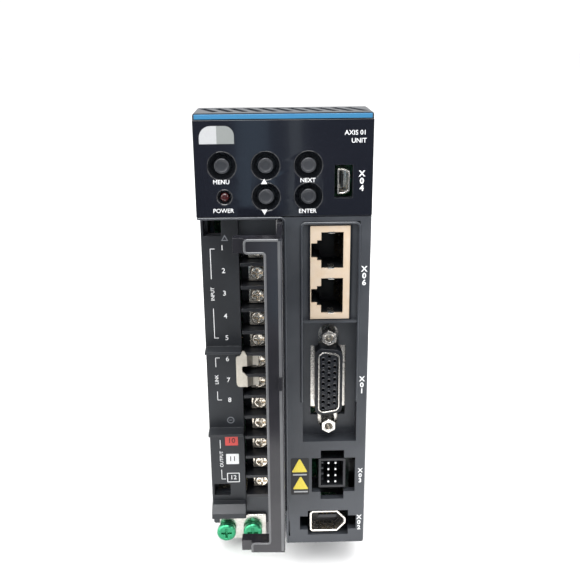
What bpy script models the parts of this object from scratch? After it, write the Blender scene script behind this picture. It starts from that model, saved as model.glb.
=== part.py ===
"""A single-axis servo drive: front unit, rear housing, connectors, terminals and the boards inside."""

import math

import bmesh
import bpy
from mathutils import Matrix, Vector

# Overall sizes, in metres. Places are given as (across, behind the front face, above the bottom edge).
body_width = 0.0560
front_height = 0.1560
rear_height = 0.1435
body_depth = 0.1500
front_depth = 0.0380
hood_depth = 0.0200
wall = 0.0020
front_wall = 0.0025
gap = 0.0003
fit = 0.0005
shell_edge = 0.0007
past = 0.0010

# Display panel across the top of the front.
panel_height = 0.0323
overlay_thickness = 0.0008
stripe_height = 0.0014
stripe_edge = 0.0003
stripe_inset = 0.0006
button_columns = (-0.0194, -0.0057, 0.0077)
button_row_drop = 0.0161
button_row_pitch = 0.00985
cap_radius = 0.0024
cap_clearance = 0.00025
cap_rim = 0.0004
dish_radius = 0.0046
dish_depth = 0.0018
cap_flange = 0.0008
cap_inset = 0.0001
dish_edge = 0.0002
button_travel = 0.0006
carrier_thickness = 0.0028
carrier_margin = 0.0006
membrane_thickness = 0.0012
membrane_seat = 0.00025
dome_height = 0.0008
lamp_across = -0.0188
lamp_radius = 0.00145
lamp_ring = 0.0025
lamp_proud = 0.0002
display_size = (0.0350, 0.0064)
display_drop = 0.0060
board_thickness = 0.0012
keypad_board_depth = 0.0095

# Connector column at the right.
column_width = 0.0283
column_centre_inset = 0.0132
pocket_side = 0.0091
pocket_wall = 0.0015
pocket_drop = 0.0018
usb_centre_inset = 0.0092
usb_drop = 0.02135
usb_opening = (0.0038, 0.0079)
usb_frame = (0.0058, 0.0105)
usb_length = 0.0088
shell_wall = 0.0004
usb_floor = 0.0020
usb_taper = (0.0002, 0.0009)
usb_tongue_size = (0.0008, 0.0042)
usb_tongue_inset = 0.0004
tongue_recess = 0.0014
jack_size = (0.0130, 0.0156, 0.0320)
jack_inset = 0.0009
jack_pocket_depth = 0.0014
jack_pocket_margin = 0.0020
jack_centre_drop = 0.0007
jack_port_side = 0.0022
jack_latch_step = 0.0010
jack_port = (0.0072, 0.0130, 0.0121)
jack_port_pitch = 0.0156
jack_latch = (0.0033, 0.0048)
rib_height = 0.0008
dsub_pocket_depth = 0.0058
dsub_pocket_height = 0.0447
dsub_centre_drop = 0.0004
dsub_flange = (0.0134, 0.0010, 0.0238)
dsub_neck = (0.0070, 0.0390)
dsub_window = (0.0122, 0.0266)
dsub_window_shift = -0.0010
dsub_screw_clearance = 0.0008
dsub_plug = (0.0236, 0.0212, 0.0074)
dsub_reach = 0.0062
dsub_hole_depth = 0.0035
dsub_corner = 0.0019
dsub_screw_spacing = 0.0333
dsub_hole_pitch = 0.00229
dsub_row_pitch = 0.00198
dsub_hole_radius = 0.00055
dsub_rows = (9, 9, 8)
insulator_overlap = 0.0050
jackscrew_radius = 0.0027
jackscrew_length = 0.0060
jackscrew_thread = 0.0014
header_height_centre = 0.0288
header_size = (0.0097, 0.0125, 0.0118)
header_wall = 0.0009
header_opening = (0.0155, 0.0138)
header_tabs = (0.0083, 0.0199)
header_opening_shift = 0.0004
header_shift = 0.0014
header_inset = 0.0012
header_floor = 0.0020
pin_pitch = 0.00254
pin_side = 0.00064
pin_recess = 0.0043
fieldbus_height_centre = 0.0088
fieldbus_size = (0.0133, 0.0120, 0.0089)
fieldbus_opening_margin = 0.0007
fieldbus_slots = (0.0205, 0.0057)
fieldbus_tongue = (0.0066, 0.0012)
fieldbus_tongue_lift = 0.0007
fieldbus_inset = 0.0009
fieldbus_core = (0.0028, 0.0002)
fieldbus_corners = (0.0018, 0.0034)

# Power terminals at the left.
terminal_count = 12
terminal_pitch = 0.00825
terminal_top_drop = 0.0141
terminal_block_width = 0.0140
terminal_block_inset = 0.0007
terminal_shift = 0.0012
terminal_floor = 0.0186
barrier_front = 0.0105
barrier_thickness = 0.0012
terminal_block_depth = 0.0115
screw_head_radius = 0.0027
screw_head_height = 0.0026
screw_head_chamfer = 0.0006
screw_shaft_radius = 0.0016
screw_shaft_length = 0.0070
terminal_cross = (0.0017, 0.00035, 0.0013)
washer_clearance = 0.00065
washer_thickness = 0.0007
screw_front = 0.0140
strip_front = 0.0115
strip_thickness = 0.0020
bay_drop = 0.0331
shelf_front = 0.0060
shelf_thickness = 0.0009
shelf_terminals = (5, 9)
shelf_lifts = (0.00695, 0.00785)
flare_top = 0.0119
flare_drop = 0.0048
wedge_low = (-0.0040, -0.0015)
wedge_high = (0.0150, 0.0060)
wedge_drop = 0.0007
link_terminals = (5, 6)
link_thickness = 0.0008
link_arm = 0.0042
link_overhang = 0.0023
link_riser = 0.0010
link_fork = (0.0054, 0.0036)
link_fork_reach = 0.0020
link_slot_start = 0.0019

# Hinged cover over the terminals.
hinge_inset = 0.0014
hinge_behind = 0.0012
hinge_pin_radius = 0.0009
hinge_pin_length = 0.0012
cover_left_inset = 0.0014
cover_bottom = 0.0143
cover_top_gap = 0.0004
cover_thickness = 0.0017
cover_wall_depth = 0.0052
leg_depth = 0.0144
leg_width = 0.0050
leg_tip_inset = 0.0013
leg_height_top = 0.0045
leg_height_bottom = 0.0038
leg_clearance = 0.0005
latch_window_drop = 0.0083
open_angle = math.radians(88)
lug_height = 0.0018
lug_wall = 0.0011
seam_slot = (0.0004, 0.0012, 0.0033, 0.0098)
grip_lift = 0.0080
grip_half = 0.0022
grip_proud = 0.0006

# Earth bracket and mounting.
bracket_front = 0.0120
bracket_thickness = 0.0012
bracket_right = -0.0080
bracket_tab = (-0.0060, 0.0045)
bracket_height = 0.0026
ground_screw_columns = (-0.0231, -0.0131)
ground_screw_height = -0.0015
ground_head_radius = 0.0036
ground_head_height = 0.0028
ground_shaft_radius = 0.0020
ground_cross = (0.0020, 0.00042, 0.0016)
plate_thickness = 0.0030
ear_height = 0.0100
ear_width = 0.0300
slot_width = 0.0052
slot_reach = 0.0068
notch_size = (0.0140, 0.0187, 0.0120)
case_screw_place = (0.1280, 0.1180)
case_head_radius = 0.0030
case_shaft_radius = 0.0014
case_head_seat = 0.0013
case_screw_length = 0.0055
case_cross = (0.0017, 0.0003)

# Ventilation slots.
vent_width = 0.0022
vent_pitch = 0.0047
vent_slant = math.radians(24)
vent_length = 0.0300
vent_row_starts = (0.0080, 0.0460)
hood_vent_margin = (0.0045, 0.0035)
side_slot_count = 7
side_slot_bottom = 0.0360
side_slot_pitch = 0.0085
side_slot_span = (0.0560, 0.1000)

# Inside.
sink_base = 0.0050
sink_bottom = 0.0065
sink_top_drop = 0.0175
fin_count = 9
fin_thickness = 0.0015
fin_length = 0.0230
fin_bottom = 0.0700
module_size = (0.0420, 0.0060, 0.0320)
board_margin = 0.0012
line_board_depth = 0.0322
power_board_depth = 0.1330
power_board_top = 0.0660
module_height = 0.0360
part_edge = 0.0007
capacitor_columns = (-0.0125, 0.0100)
capacitor_height = 0.0250
transformer_span = ((-0.0220, 0.0390), (-0.0010, 0.0580))
transformer_depth = 0.0170
relay_span = ((-0.0230, 0.0880), (-0.0080, 0.1080))
relay_depth = 0.0155
choke_ring = 0.0095
choke_wire = 0.0045
choke_place = (-0.0095, 0.0640)
fuse_place = (-0.0180, 0.0200)
fuse_length = 0.0220
fuse_radius = 0.0028
harness_span = ((0.0060, 0.0490), (0.0170, 0.0525))
capacitor_radius = 0.0105
capacitor_length = 0.0360
control_board_inset = 0.0061
control_board_front = 0.0097
control_board_length = 0.0800
control_board_bottom = 0.0050
control_board_top_drop = 0.0186
line_board_bottom = 0.0080
board_gap = 0.0020

# Derived places.
left = -body_width / 2
right = body_width / 2
panel_bottom = front_height - panel_height
bay_top = front_height - bay_drop
bay_right = right - column_width
bay_floor = strip_front + strip_thickness + gap
column_centre = right - column_centre_inset
overlay_back = overlay_thickness + gap
panel_back = overlay_back + wall
button_rows = (front_height - button_row_drop, front_height - button_row_drop - button_row_pitch)
washer_side = terminal_pitch - barrier_thickness - washer_clearance
control_board_top = rear_height - wall - control_board_top_drop
block_right = bay_right - terminal_block_inset
block_left = block_right - terminal_block_width
terminal_centre = (block_left + block_right) / 2 - terminal_shift
terminal_heights = [bay_top - terminal_top_drop - terminal_pitch * i for i in range(terminal_count)]
shelf_heights = [terminal_heights[i] + lift for i, lift in zip(shelf_terminals, shelf_lifts)]
block_top = terminal_heights[0] + terminal_pitch / 2 + barrier_thickness / 2
block_bottom = terminal_heights[-1] - terminal_pitch / 2 - barrier_thickness / 2
strip_right = block_left - gap
hinge_across = bay_right - hinge_inset
cover_left = left + cover_left_inset
cover_top = bay_top - cover_top_gap
leg_span = (cover_left, cover_left + leg_width)
plate_front = body_depth - plate_thickness
rear_front = front_depth + gap
rear_back = plate_front - gap
pocket_top = panel_bottom - pocket_drop
jack_pocket_bottom = pocket_top - jack_size[2] - jack_pocket_margin
dsub_pocket_top = jack_pocket_bottom - rib_height
dsub_pocket_bottom = dsub_pocket_top - dsub_pocket_height
dsub_centre = (dsub_pocket_top + dsub_pocket_bottom) / 2 - dsub_centre_drop
jack_centre = (pocket_top + jack_pocket_bottom) / 2 - jack_centre_drop
usb_across = right - usb_centre_inset
usb_height = front_height - usb_drop


def world(point):
    """Turn (across, behind the front, above the bottom) into the frame of the mounting face."""
    across, behind, above = point
    return Vector((across, behind - body_depth, above - rear_height / 2))


def new_collection(name, parent):
    made = bpy.data.collections.new(name)
    parent.children.link(made)
    return made


def clear_scene():
    for item in list(bpy.data.objects):
        bpy.data.objects.remove(item, do_unlink=True)


clear_scene()
pieces = new_collection("servo_drive", bpy.context.scene.collection)
cutters = new_collection("cutters", bpy.context.scene.collection)
root = bpy.data.objects.new("servo_drive_mount", None)
pieces.objects.link(root)


def to_object(name, bm, home):
    """Make an object from a bmesh, with its origin at the middle of the mesh."""
    corners = [vert.co for vert in bm.verts]
    low = Vector([min(co[axis] for co in corners) for axis in range(3)])
    high = Vector([max(co[axis] for co in corners) for axis in range(3)])
    middle = (low + high) / 2
    bmesh.ops.translate(bm, verts=bm.verts, vec=-middle)
    bmesh.ops.recalc_face_normals(bm, faces=bm.faces)
    mesh = bpy.data.meshes.new(name)
    bm.to_mesh(mesh)
    bm.free()
    made = bpy.data.objects.new(name, mesh)
    made.location = middle
    home.objects.link(made)
    if home == cutters:
        made.hide_render = True
        made.display_type = "WIRE"
    else:
        made.parent = root
    return made


def add_box(bm, low, high, turn=0.0):
    """Add a box between two corners, turned about the vertical through its middle."""
    low, high = world(low), world(high)
    size = high - low
    place = Matrix.Translation((low + high) / 2) @ Matrix.Rotation(turn, 4, "Z")
    bmesh.ops.create_cube(bm, size=1.0, matrix=place @ Matrix.Diagonal((*size, 1.0)))


def add_rod(bm, start, length, radius, axis="Y", sides=24, end_radius=None):
    """Add a cylinder or cone that starts at a point and runs along an axis."""
    turns = {
        "X": Matrix.Rotation(math.pi / 2, 4, "Y"),
        "Y": Matrix.Rotation(-math.pi / 2, 4, "X"),
        "Z": Matrix.Identity(4),
    }
    far = radius if end_radius is None else end_radius
    place = Matrix.Translation(world(start)) @ turns[axis] @ Matrix.Translation((0, 0, length / 2))
    bmesh.ops.create_cone(
        bm, cap_ends=True, segments=sides, radius1=radius, radius2=far, depth=length, matrix=place
    )


def boxes(name, spans, home=None, turn=0.0):
    bm = bmesh.new()
    for low, high in spans:
        add_box(bm, low, high, turn)
    return to_object(name, bm, home or pieces)


def box(name, low, high, home=None):
    return boxes(name, [(low, high)], home)


def rods(name, starts, length, radius, home=None, **shape):
    bm = bmesh.new()
    for start in starts:
        add_rod(bm, start, length, radius, **shape)
    return to_object(name, bm, home or pieces)


def rod(name, start, length, radius, home=None, **shape):
    return rods(name, [start], length, radius, home, **shape)


def boolean(piece, tool, operation):
    step = piece.modifiers.new(f"{operation.lower()}_{tool.name}", "BOOLEAN")
    step.object = tool
    step.operation = operation
    step.solver = "EXACT"
    return piece


def cut(piece, *tools):
    for tool in tools:
        boolean(piece, tool, "DIFFERENCE")


def join(piece, *tools):
    for tool in tools:
        boolean(piece, tool, "UNION")


def cut_box(piece, label, low, high):
    cut(piece, box(f"{piece.name}_{label}", low, high, cutters))


def cut_boxes(piece, label, spans, turn=0.0):
    cut(piece, boxes(f"{piece.name}_{label}", spans, cutters, turn))


def cut_rods(piece, label, starts, length, radius, **shape):
    cut(piece, rods(f"{piece.name}_{label}", starts, length, radius, cutters, **shape))


def join_box(piece, label, low, high):
    join(piece, box(f"{piece.name}_{label}", low, high, cutters))


def join_rod(piece, label, start, length, radius, **shape):
    join(piece, rod(f"{piece.name}_{label}", start, length, radius, cutters, **shape))


def rounded(corners, radius, steps=3):
    """Round each corner of an outline with an arc."""
    outline = []
    count = len(corners)
    for index in range(count):
        here = Vector(corners[index])
        before = (Vector(corners[index - 1]) - here).normalized()
        after = (Vector(corners[(index + 1) % count]) - here).normalized()
        half = before.angle(after) / 2
        reach = radius / math.tan(half)
        centre = here + (before + after).normalized() * radius / math.sin(half)
        first = here + before * reach - centre
        last = here + after * reach - centre
        for step in range(steps + 1):
            ray = first.lerp(last, step / steps).normalized() * radius
            outline.append(centre + ray)
    return outline


def prism(name, outline, near, far, home=None):
    """Turn a flat outline of (across, above) points into a solid from near to far behind the front."""
    curve = bpy.data.curves.new(name, "CURVE")
    curve.dimensions = "2D"
    curve.fill_mode = "BOTH"
    curve.extrude = (far - near) / 2
    spline = curve.splines.new("POLY")
    spline.points.add(len(outline) - 1)
    for point, (across, above) in zip(spline.points, outline):
        point.co = (across, above, 0.0, 1.0)
    spline.use_cyclic_u = True
    flat = bpy.data.objects.new(f"{name}_outline", curve)
    cutters.objects.link(flat)
    bpy.context.view_layer.update()
    mesh = bpy.data.meshes.new_from_object(flat)
    bpy.data.objects.remove(flat, do_unlink=True)
    bm = bmesh.new()
    bm.from_mesh(mesh)
    bmesh.ops.remove_doubles(bm, verts=bm.verts, dist=0.000001)
    stand = Matrix.Translation(world((0, (near + far) / 2, 0))) @ Matrix.Rotation(math.pi / 2, 4, "X")
    bmesh.ops.transform(bm, matrix=stand, verts=bm.verts)
    return to_object(name, bm, home or pieces)


def bevel(piece, width, segments=1, angle=40):
    step = piece.modifiers.new("rounded_edges", "BEVEL")
    step.width = width
    step.segments = segments
    step.limit_method = "ANGLE"
    step.angle_limit = math.radians(angle)
    return piece


def move_origin(piece, point):
    """Put an object's origin at a point without moving its mesh."""
    shift = piece.location - point
    piece.data.transform(Matrix.Translation(shift))
    piece.location = point


def paint(piece, color, roughness, metallic=0.0):
    finish = bpy.data.materials.new(f"{piece.name}_finish")
    finish.use_nodes = True
    shader = finish.node_tree.nodes["Principled BSDF"]
    shader.inputs["Base Color"].default_value = (*color, 1.0)
    shader.inputs["Roughness"].default_value = roughness
    shader.inputs["Metallic"].default_value = metallic
    finish.diffuse_color = (*color, 1.0)
    piece.data.materials.append(finish)
    return piece


body_grey = (0.045, 0.050, 0.058)
gloss_black = (0.012, 0.014, 0.018)
dark_plastic = (0.020, 0.021, 0.023)
steel = (0.62, 0.62, 0.60)
aluminium = (0.70, 0.71, 0.72)
board_green = (0.020, 0.140, 0.060)
jack_beige = (0.46, 0.37, 0.27)


def vent_spans(span_x, span_behind, span_above):
    """Slots side by side between two limits across the body."""
    count = int((span_x[1] - span_x[0] - vent_width) / vent_pitch) + 1
    middle = (span_x[0] + span_x[1]) / 2
    first = middle - vent_pitch * (count - 1) / 2
    spans = []
    for index in range(count):
        centre = first + vent_pitch * index
        low = (centre - vent_width / 2, span_behind[0], span_above[0])
        high = (centre + vent_width / 2, span_behind[1], span_above[1])
        spans.append((low, high))
    return spans


def make_front_housing():
    piece = box("front_housing", (left, 0, 0), (right, front_depth, rear_height))
    hood = box("front_housing_hood", (left, 0, 0), (right, hood_depth, front_height), cutters)
    join(piece, hood)
    bevel(piece, shell_edge, 2)
    inner_left, inner_right = left + wall, right - wall
    cut_box(
        piece, "panel_seat",
        (left - past, -past, panel_bottom - gap), (right + past, overlay_back, front_height + past),
    )
    cut_box(
        piece, "rear_space",
        (inner_left, bay_floor + wall, wall), (inner_right, front_depth + past, rear_height - wall),
    )
    cut_box(
        piece, "panel_space",
        (inner_left, panel_back, bay_top + wall), (inner_right, hood_depth - wall, front_height - wall),
    )
    cut_box(
        piece, "column_space",
        (bay_right + wall, front_wall, wall), (inner_right, bay_floor + wall + past, bay_top + wall + past),
    )
    cut_box(piece, "bay", (left - past, -past, -past), (bay_right, bay_floor, bay_top))
    cut_box(
        piece, "terminal_window",
        (block_left - gap, bay_floor - past, block_bottom - gap),
        (block_right + gap, bay_floor + wall + past, block_top + gap),
    )
    cut_box(
        piece, "bracket_slot",
        (left + wall, bay_floor - past, bracket_height - gap),
        (bracket_right + gap, bay_floor + wall + past, bracket_height + bracket_thickness + gap),
    )
    windows = []
    for low, high in latch_windows():
        windows.append(((low[0], bay_floor - past, low[1]), (high[0], bay_floor + wall + past, high[1])))
    cut_boxes(piece, "latch_windows", windows)
    add_column(piece)
    add_panel_openings(piece)
    add_hinge_seats(piece)
    vents = vent_spans(
        (inner_left, inner_right), (hood_vent_margin[0], hood_depth - hood_vent_margin[1]),
        (front_height - wall - past, front_height + past),
    )
    cut_boxes(piece, "hood_vents", vents, vent_slant)
    return paint(piece, body_grey, 0.42)


def latch_windows():
    """Low and high corners, across and above, of the two windows that the cover's legs enter."""
    across = (leg_span[0] - leg_clearance, leg_span[1] + leg_clearance)
    lower = (cover_bottom - leg_clearance, cover_bottom + leg_height_bottom + leg_clearance)
    upper = (bay_top - latch_window_drop, cover_top + leg_clearance / 2)
    return [((across[0], lo), (across[1], hi)) for lo, hi in (lower, upper)]


def add_column(piece):
    """Pockets and openings for the connectors."""
    pocket_left, pocket_right = column_centre - pocket_side, column_centre + pocket_side + fit
    join_box(
        piece, "dsub_cup",
        (pocket_left - pocket_wall, front_wall / 2, dsub_pocket_bottom - pocket_wall),
        (pocket_right + pocket_wall, dsub_pocket_depth + pocket_wall, dsub_pocket_top + pocket_wall),
    )
    cut_box(
        piece, "dsub_pocket",
        (pocket_left, -past, dsub_pocket_bottom), (pocket_right, dsub_pocket_depth, dsub_pocket_top),
    )
    cut_box(
        piece, "jack_pocket",
        (pocket_left, -past, jack_pocket_bottom), (pocket_right, jack_pocket_depth, pocket_top),
    )
    half_width, half_height = jack_size[0] / 2 + gap, jack_size[2] / 2 + gap
    cut_box(
        piece, "jack_opening",
        (column_centre - half_width, 0, jack_centre - half_height),
        (column_centre + half_width, dsub_pocket_depth + pocket_wall + past, jack_centre + half_height),
    )
    window_middle = dsub_centre + dsub_window_shift
    for label, (width, height), middle in (
        ("dsub_window", dsub_window, window_middle),
        ("dsub_neck_window", (dsub_neck[0], dsub_screw_spacing), dsub_centre),
    ):
        cut_box(
            piece, label,
            (column_centre - width / 2, dsub_pocket_depth - past, middle - height / 2),
            (column_centre + width / 2, dsub_pocket_depth + pocket_wall + past, middle + height / 2),
        )
    screws = [
        (column_centre, dsub_pocket_depth - past, dsub_centre + side * dsub_screw_spacing / 2)
        for side in (-1, 1)
    ]
    cut_rods(
        piece, "jackscrew_holes", screws, pocket_wall + 2 * past, jackscrew_radius + dsub_screw_clearance,
    )
    header_middle = column_centre + header_opening_shift
    for label, (width, height), shift in (
        ("header_opening", header_opening, header_middle),
        ("header_tabs", header_tabs, column_centre),
    ):
        cut_box(
            piece, label,
            (shift - width / 2 + header_shift, -past, header_height_centre - height / 2),
            (shift + width / 2 + header_shift, front_wall + past, header_height_centre + height / 2),
        )
    half = fieldbus_size[0] / 2 + fieldbus_opening_margin
    tall = fieldbus_size[2] / 2 + fieldbus_opening_margin
    cut_box(
        piece, "fieldbus_opening",
        (column_centre - half, -past, fieldbus_height_centre - tall),
        (column_centre + half, front_wall + past, fieldbus_height_centre + tall),
    )
    half, tall = fieldbus_slots[0] / 2, fieldbus_slots[1] / 2
    cut_box(
        piece, "fieldbus_slots",
        (column_centre - half, -past, fieldbus_height_centre - tall),
        (column_centre + half, front_wall + past, fieldbus_height_centre + tall),
    )


def carrier_window():
    across = (
        button_columns[0] - dish_radius - carrier_margin,
        button_columns[-1] + dish_radius + carrier_margin,
    )
    above = (
        button_rows[1] - dish_radius - carrier_margin / 2,
        button_rows[0] + dish_radius + carrier_margin / 2,
    )
    return across, above


def add_panel_openings(piece):
    across, above = carrier_window()
    cut_box(
        piece, "keypad_window",
        (across[0] - gap, 0, above[0] - gap), (across[1] + gap, panel_back + past, above[1] + gap),
    )
    centre = front_height - display_drop
    cut_box(
        piece, "display_window",
        (-display_size[0] / 2 - gap, 0, centre - display_size[1] / 2 - gap),
        (display_size[0] / 2 + gap, panel_back + past, centre + display_size[1] / 2 + gap),
    )
    cut_box(
        piece, "usb_window",
        (usb_across - usb_frame[0] / 2, 0, usb_height - usb_frame[1] / 2),
        (usb_across + usb_frame[0] / 2, panel_back + past, usb_height + usb_frame[1] / 2),
    )


def add_hinge_seats(piece):
    """A blind hole above the cover's upper pivot, and a lug with a hole for the lower one."""
    seat_radius = hinge_pin_radius + cap_clearance
    cut_rods(
        piece, "upper_pivot",
        [(hinge_across, hinge_behind, cover_top)], hinge_pin_length + cover_top_gap, seat_radius,
        axis="Z", sides=16,
    )
    lug_bottom = cover_bottom - cover_top_gap - lug_height
    lug_half = hinge_pin_radius + lug_wall
    join_box(
        piece, "lug",
        (hinge_across - lug_half, 0, lug_bottom),
        (bay_right + wall / 2, hinge_behind + lug_half, lug_bottom + lug_height),
    )
    cut_rods(
        piece, "lower_pivot",
        [(hinge_across, hinge_behind, lug_bottom - past)], lug_height + 2 * past, seat_radius,
        axis="Z", sides=16,
    )
    near, far, low, high = seam_slot
    cut_box(piece, "seam_slot", (bay_right + near, -past, low), (bay_right + far, front_wall / 2, high))


def make_rear_housing():
    piece = box("rear_housing", (left, rear_front, 0), (right, rear_back, rear_height))
    bevel(piece, shell_edge, 2)
    inner_left, inner_right = left + wall, right - wall
    cut_box(
        piece, "space",
        (inner_left, rear_front - past, wall), (inner_right, rear_back + past, rear_height - wall),
    )
    half, deep, tall = notch_size[0] / 2, notch_size[1], notch_size[2]
    join_box(
        piece, "notch_walls",
        (-half - wall, rear_back - deep - wall, rear_height - tall - wall),
        (half + wall, rear_back, rear_height),
    )
    cut_box(
        piece, "notch",
        (-half, rear_back - deep, rear_height - tall), (half, rear_back + past, rear_height + past),
    )
    cut_box(
        piece, "bracket_relief",
        (left + wall, rear_front - past, wall / 2), (bracket_right + gap, rear_back + past, wall + gap),
    )
    for number, start in enumerate(vent_row_starts, start=1):
        row = (rear_front + start, rear_front + start + vent_length)
        for side, above in (("top", rear_height - wall - past), ("bottom", -past)):
            spans = vent_spans((inner_left, inner_right), row, (above, above + wall + 2 * past))
            cut_boxes(piece, f"{side}_vents_{number}", spans)
    side_slots = []
    for index in range(side_slot_count):
        above = side_slot_bottom + side_slot_pitch * index
        near, far = side_slot_span
        side_slots.append(((left - past, near, above), (right + past, far, above + vent_width)))
    cut_boxes(piece, "side_vents", side_slots)
    holes = [(left - past, *case_screw_place), (right - wall - past, *case_screw_place)]
    cut_rods(piece, "screw_holes", holes, wall + 2 * past, case_shaft_radius + fit, axis="X", sides=16)
    seats = [(left - past, *case_screw_place), (right - case_head_seat, *case_screw_place)]
    cut_rods(piece, "screw_seats", seats, case_head_seat + past, case_head_radius + gap, axis="X")
    return paint(piece, body_grey, 0.45)


def make_case_screws():
    """Countersunk screws through the side walls into the outer fins."""
    behind, above = case_screw_place
    head = case_head_seat - gap
    for side, name in ((-1, "case_screw_left"), (1, "case_screw_right")):
        outer, seat = side * body_width / 2, side * (body_width / 2 - head)
        tip = side * (body_width / 2 - case_screw_length)
        piece = rod(name, (min(outer, seat), behind, above), head, case_head_radius, axis="X", sides=20)
        start = (min(outer - side * fit, tip), behind, above)
        join_rod(piece, "shaft", start, case_screw_length - fit, case_shaft_radius, axis="X", sides=12)
        near, far = sorted((outer + side * past, outer - side * head / 2))
        reach, narrow = case_cross
        for label, tall, deep in (("flat", narrow, reach), ("upright", reach, narrow)):
            cut_box(
                piece, f"cross_{label}", (
                    near, behind - deep, above - tall), (far, behind + deep, above + tall,
                )
            )
        paint(piece, steel, 0.35, 1.0)


def make_back_plate():
    piece = box("back_plate", (left, plate_front, 0), (right, body_depth, rear_height))
    join_box(piece, "ear", (-ear_width / 2, plate_front, -ear_height), (ear_width / 2, body_depth, wall))
    slots = (
        ((-slot_width / 2, plate_front - past, rear_height - slot_reach),
         (slot_width / 2, body_depth + past, rear_height + past)),
        ((-slot_width / 2, plate_front - past, -ear_height - past),
         (slot_width / 2, body_depth + past, -ear_height + slot_reach)),
    )
    cut_boxes(piece, "slots", slots)
    ends = [(0, plate_front - past, above) for above in (rear_height - slot_reach, -ear_height + slot_reach)]
    cut_rods(piece, "slot_ends", ends, plate_thickness + 2 * past, slot_width / 2)
    return paint(piece, aluminium, 0.45, 1.0)


def make_heat_sink():
    front, back = plate_front - gap - sink_base, plate_front - gap
    inner_left, inner_right = left + wall + board_margin, right - wall - board_margin
    top = rear_height - sink_top_drop
    piece = box("heat_sink", (inner_left, front, sink_bottom), (inner_right, back, top))
    pitch = (inner_right - inner_left - fin_thickness) / (fin_count - 1)
    fins = []
    for index in range(fin_count):
        start = inner_left + pitch * index
        fins.append(((start, front - fin_length, fin_bottom), (start + fin_thickness, front + fit, top)))
    join(piece, boxes("heat_sink_fins", fins, cutters))
    ends = [(inner_left - past, *case_screw_place), (inner_right - fin_thickness - past, *case_screw_place)]
    cut_rods(
        piece, "screw_holes", ends, fin_thickness + 2 * past, case_shaft_radius + cap_clearance,
        axis="X", sides=12,
    )
    return paint(piece, aluminium, 0.5, 1.0)


def make_ground_bracket():
    low, high = bracket_tab
    back = plate_front - 2 * gap - sink_base - gap
    tab_left = left + wall + gap
    piece = box(
        "ground_bracket",
        (tab_left, bracket_front, bracket_height), (bracket_right, back, bracket_height + bracket_thickness),
    )
    join_box(
        piece, "tab",
        (tab_left, bracket_front, low), (bracket_right, bracket_front + bracket_thickness, high),
    )
    starts = [(column, bracket_front - past, ground_screw_height) for column in ground_screw_columns]
    cut_rods(piece, "holes", starts, bracket_thickness + 2 * past, ground_shaft_radius + gap, sides=16)
    return paint(piece, steel, 0.3, 1.0)


def cross_recess(piece, centre, front, reach, width, deep):
    across, above = centre
    cut_box(
        piece, "cross_flat",
        (across - reach, front - past, above - width), (across + reach, front + deep, above + width),
    )
    cut_box(
        piece, "cross_upright",
        (across - width, front - past, above - reach), (across + width, front + deep, above + reach),
    )


def make_ground_screws():
    for column, name in zip(ground_screw_columns, ("ground_screw_left", "ground_screw_right")):
        front = bracket_front - gap - ground_head_height
        piece = rod(
            name, (column, front, ground_screw_height), ground_head_height, ground_head_radius, sides=20,
        )
        bevel(piece, screw_head_chamfer)
        shaft = bay_floor - gap - front - ground_head_height / 2
        join_rod(piece, "shaft", (column, front + ground_head_height / 2, ground_screw_height),
                 shaft, ground_shaft_radius, sides=12)
        cross_recess(piece, (column, ground_screw_height), front, *ground_cross)
        paint(piece, (0.02, 0.42, 0.22), 0.25, 0.6)


def make_overlay():
    piece = box("panel_overlay", (left, 0, panel_bottom), (right, overlay_thickness, stripe_bottom() - gap))
    wells = [(column, -past, row) for column, row in button_places()]
    cut_rods(piece, "wells", wells, overlay_thickness + 2 * past, dish_radius, sides=24)
    cut_rods(
        piece, "lamp_ring", [(lamp_across, -past, button_rows[1])], overlay_thickness + 2 * past, lamp_ring,
        sides=24,
    )
    cut_box(
        piece, "usb_window",
        (usb_across - usb_frame[0] / 2, -past, usb_height - usb_frame[1] / 2),
        (usb_across + usb_frame[0] / 2, overlay_thickness + past, usb_height + usb_frame[1] / 2),
    )
    return paint(piece, gloss_black, 0.08)


def stripe_bottom():
    return front_height - stripe_edge - stripe_height


def make_stripe():
    piece = box(
        "accent_stripe",
        (left + stripe_inset, 0, stripe_bottom()),
        (right - stripe_inset, overlay_thickness, front_height - stripe_edge),
    )
    return paint(piece, (0.045, 0.28, 0.55), 0.25)


def button_places():
    """Columns and rows of the five buttons: three above, two below."""
    return [(column, button_rows[0]) for column in button_columns] + [
        (column, button_rows[1]) for column in button_columns[1:]
    ]


def make_carrier():
    across, above = carrier_window()
    front = overlay_thickness + gap
    piece = box(
        "keypad_carrier", (across[0], front, above[0]), (across[1], front + carrier_thickness, above[1]),
    )
    dishes = [(column, front - past / 2, row) for column, row in button_places()]
    narrow = cap_radius + cap_clearance + dish_edge
    cut_rods(piece, "dishes", dishes, dish_depth, dish_radius + dish_edge / 2, sides=24, end_radius=narrow)
    holes = [(column, front - past, row) for column, row in button_places()]
    cut_rods(piece, "cap_holes", holes, carrier_thickness + 2 * past, cap_radius + cap_clearance, sides=24)
    lamp = [(lamp_across, front - past, button_rows[1])]
    cut_rods(piece, "lamp_hole", lamp, carrier_thickness + 2 * past, lamp_radius + cap_clearance, sides=16)
    return paint(piece, dark_plastic, 0.3)


def make_buttons():
    names = ("button_mode", "button_up", "button_shift", "button_down", "button_enter")
    front = cap_inset
    flange_front = overlay_thickness + gap + carrier_thickness + gap
    for name, (column, row) in zip(names, button_places()):
        piece = rod(name, (column, front, row), stem_end() - front, cap_radius, sides=24)
        bevel(piece, cap_rim)
        join_rod(piece, "flange", (column, flange_front, row), cap_flange, cap_radius + cap_flange, sides=24)
        move_origin(piece, world((column, front, row)))
        paint(piece, dark_plastic, 0.35)


def membrane_front():
    return keypad_board_depth - gap - membrane_thickness


def stem_end():
    return membrane_front() - dome_height - button_travel - fit / 2


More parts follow.
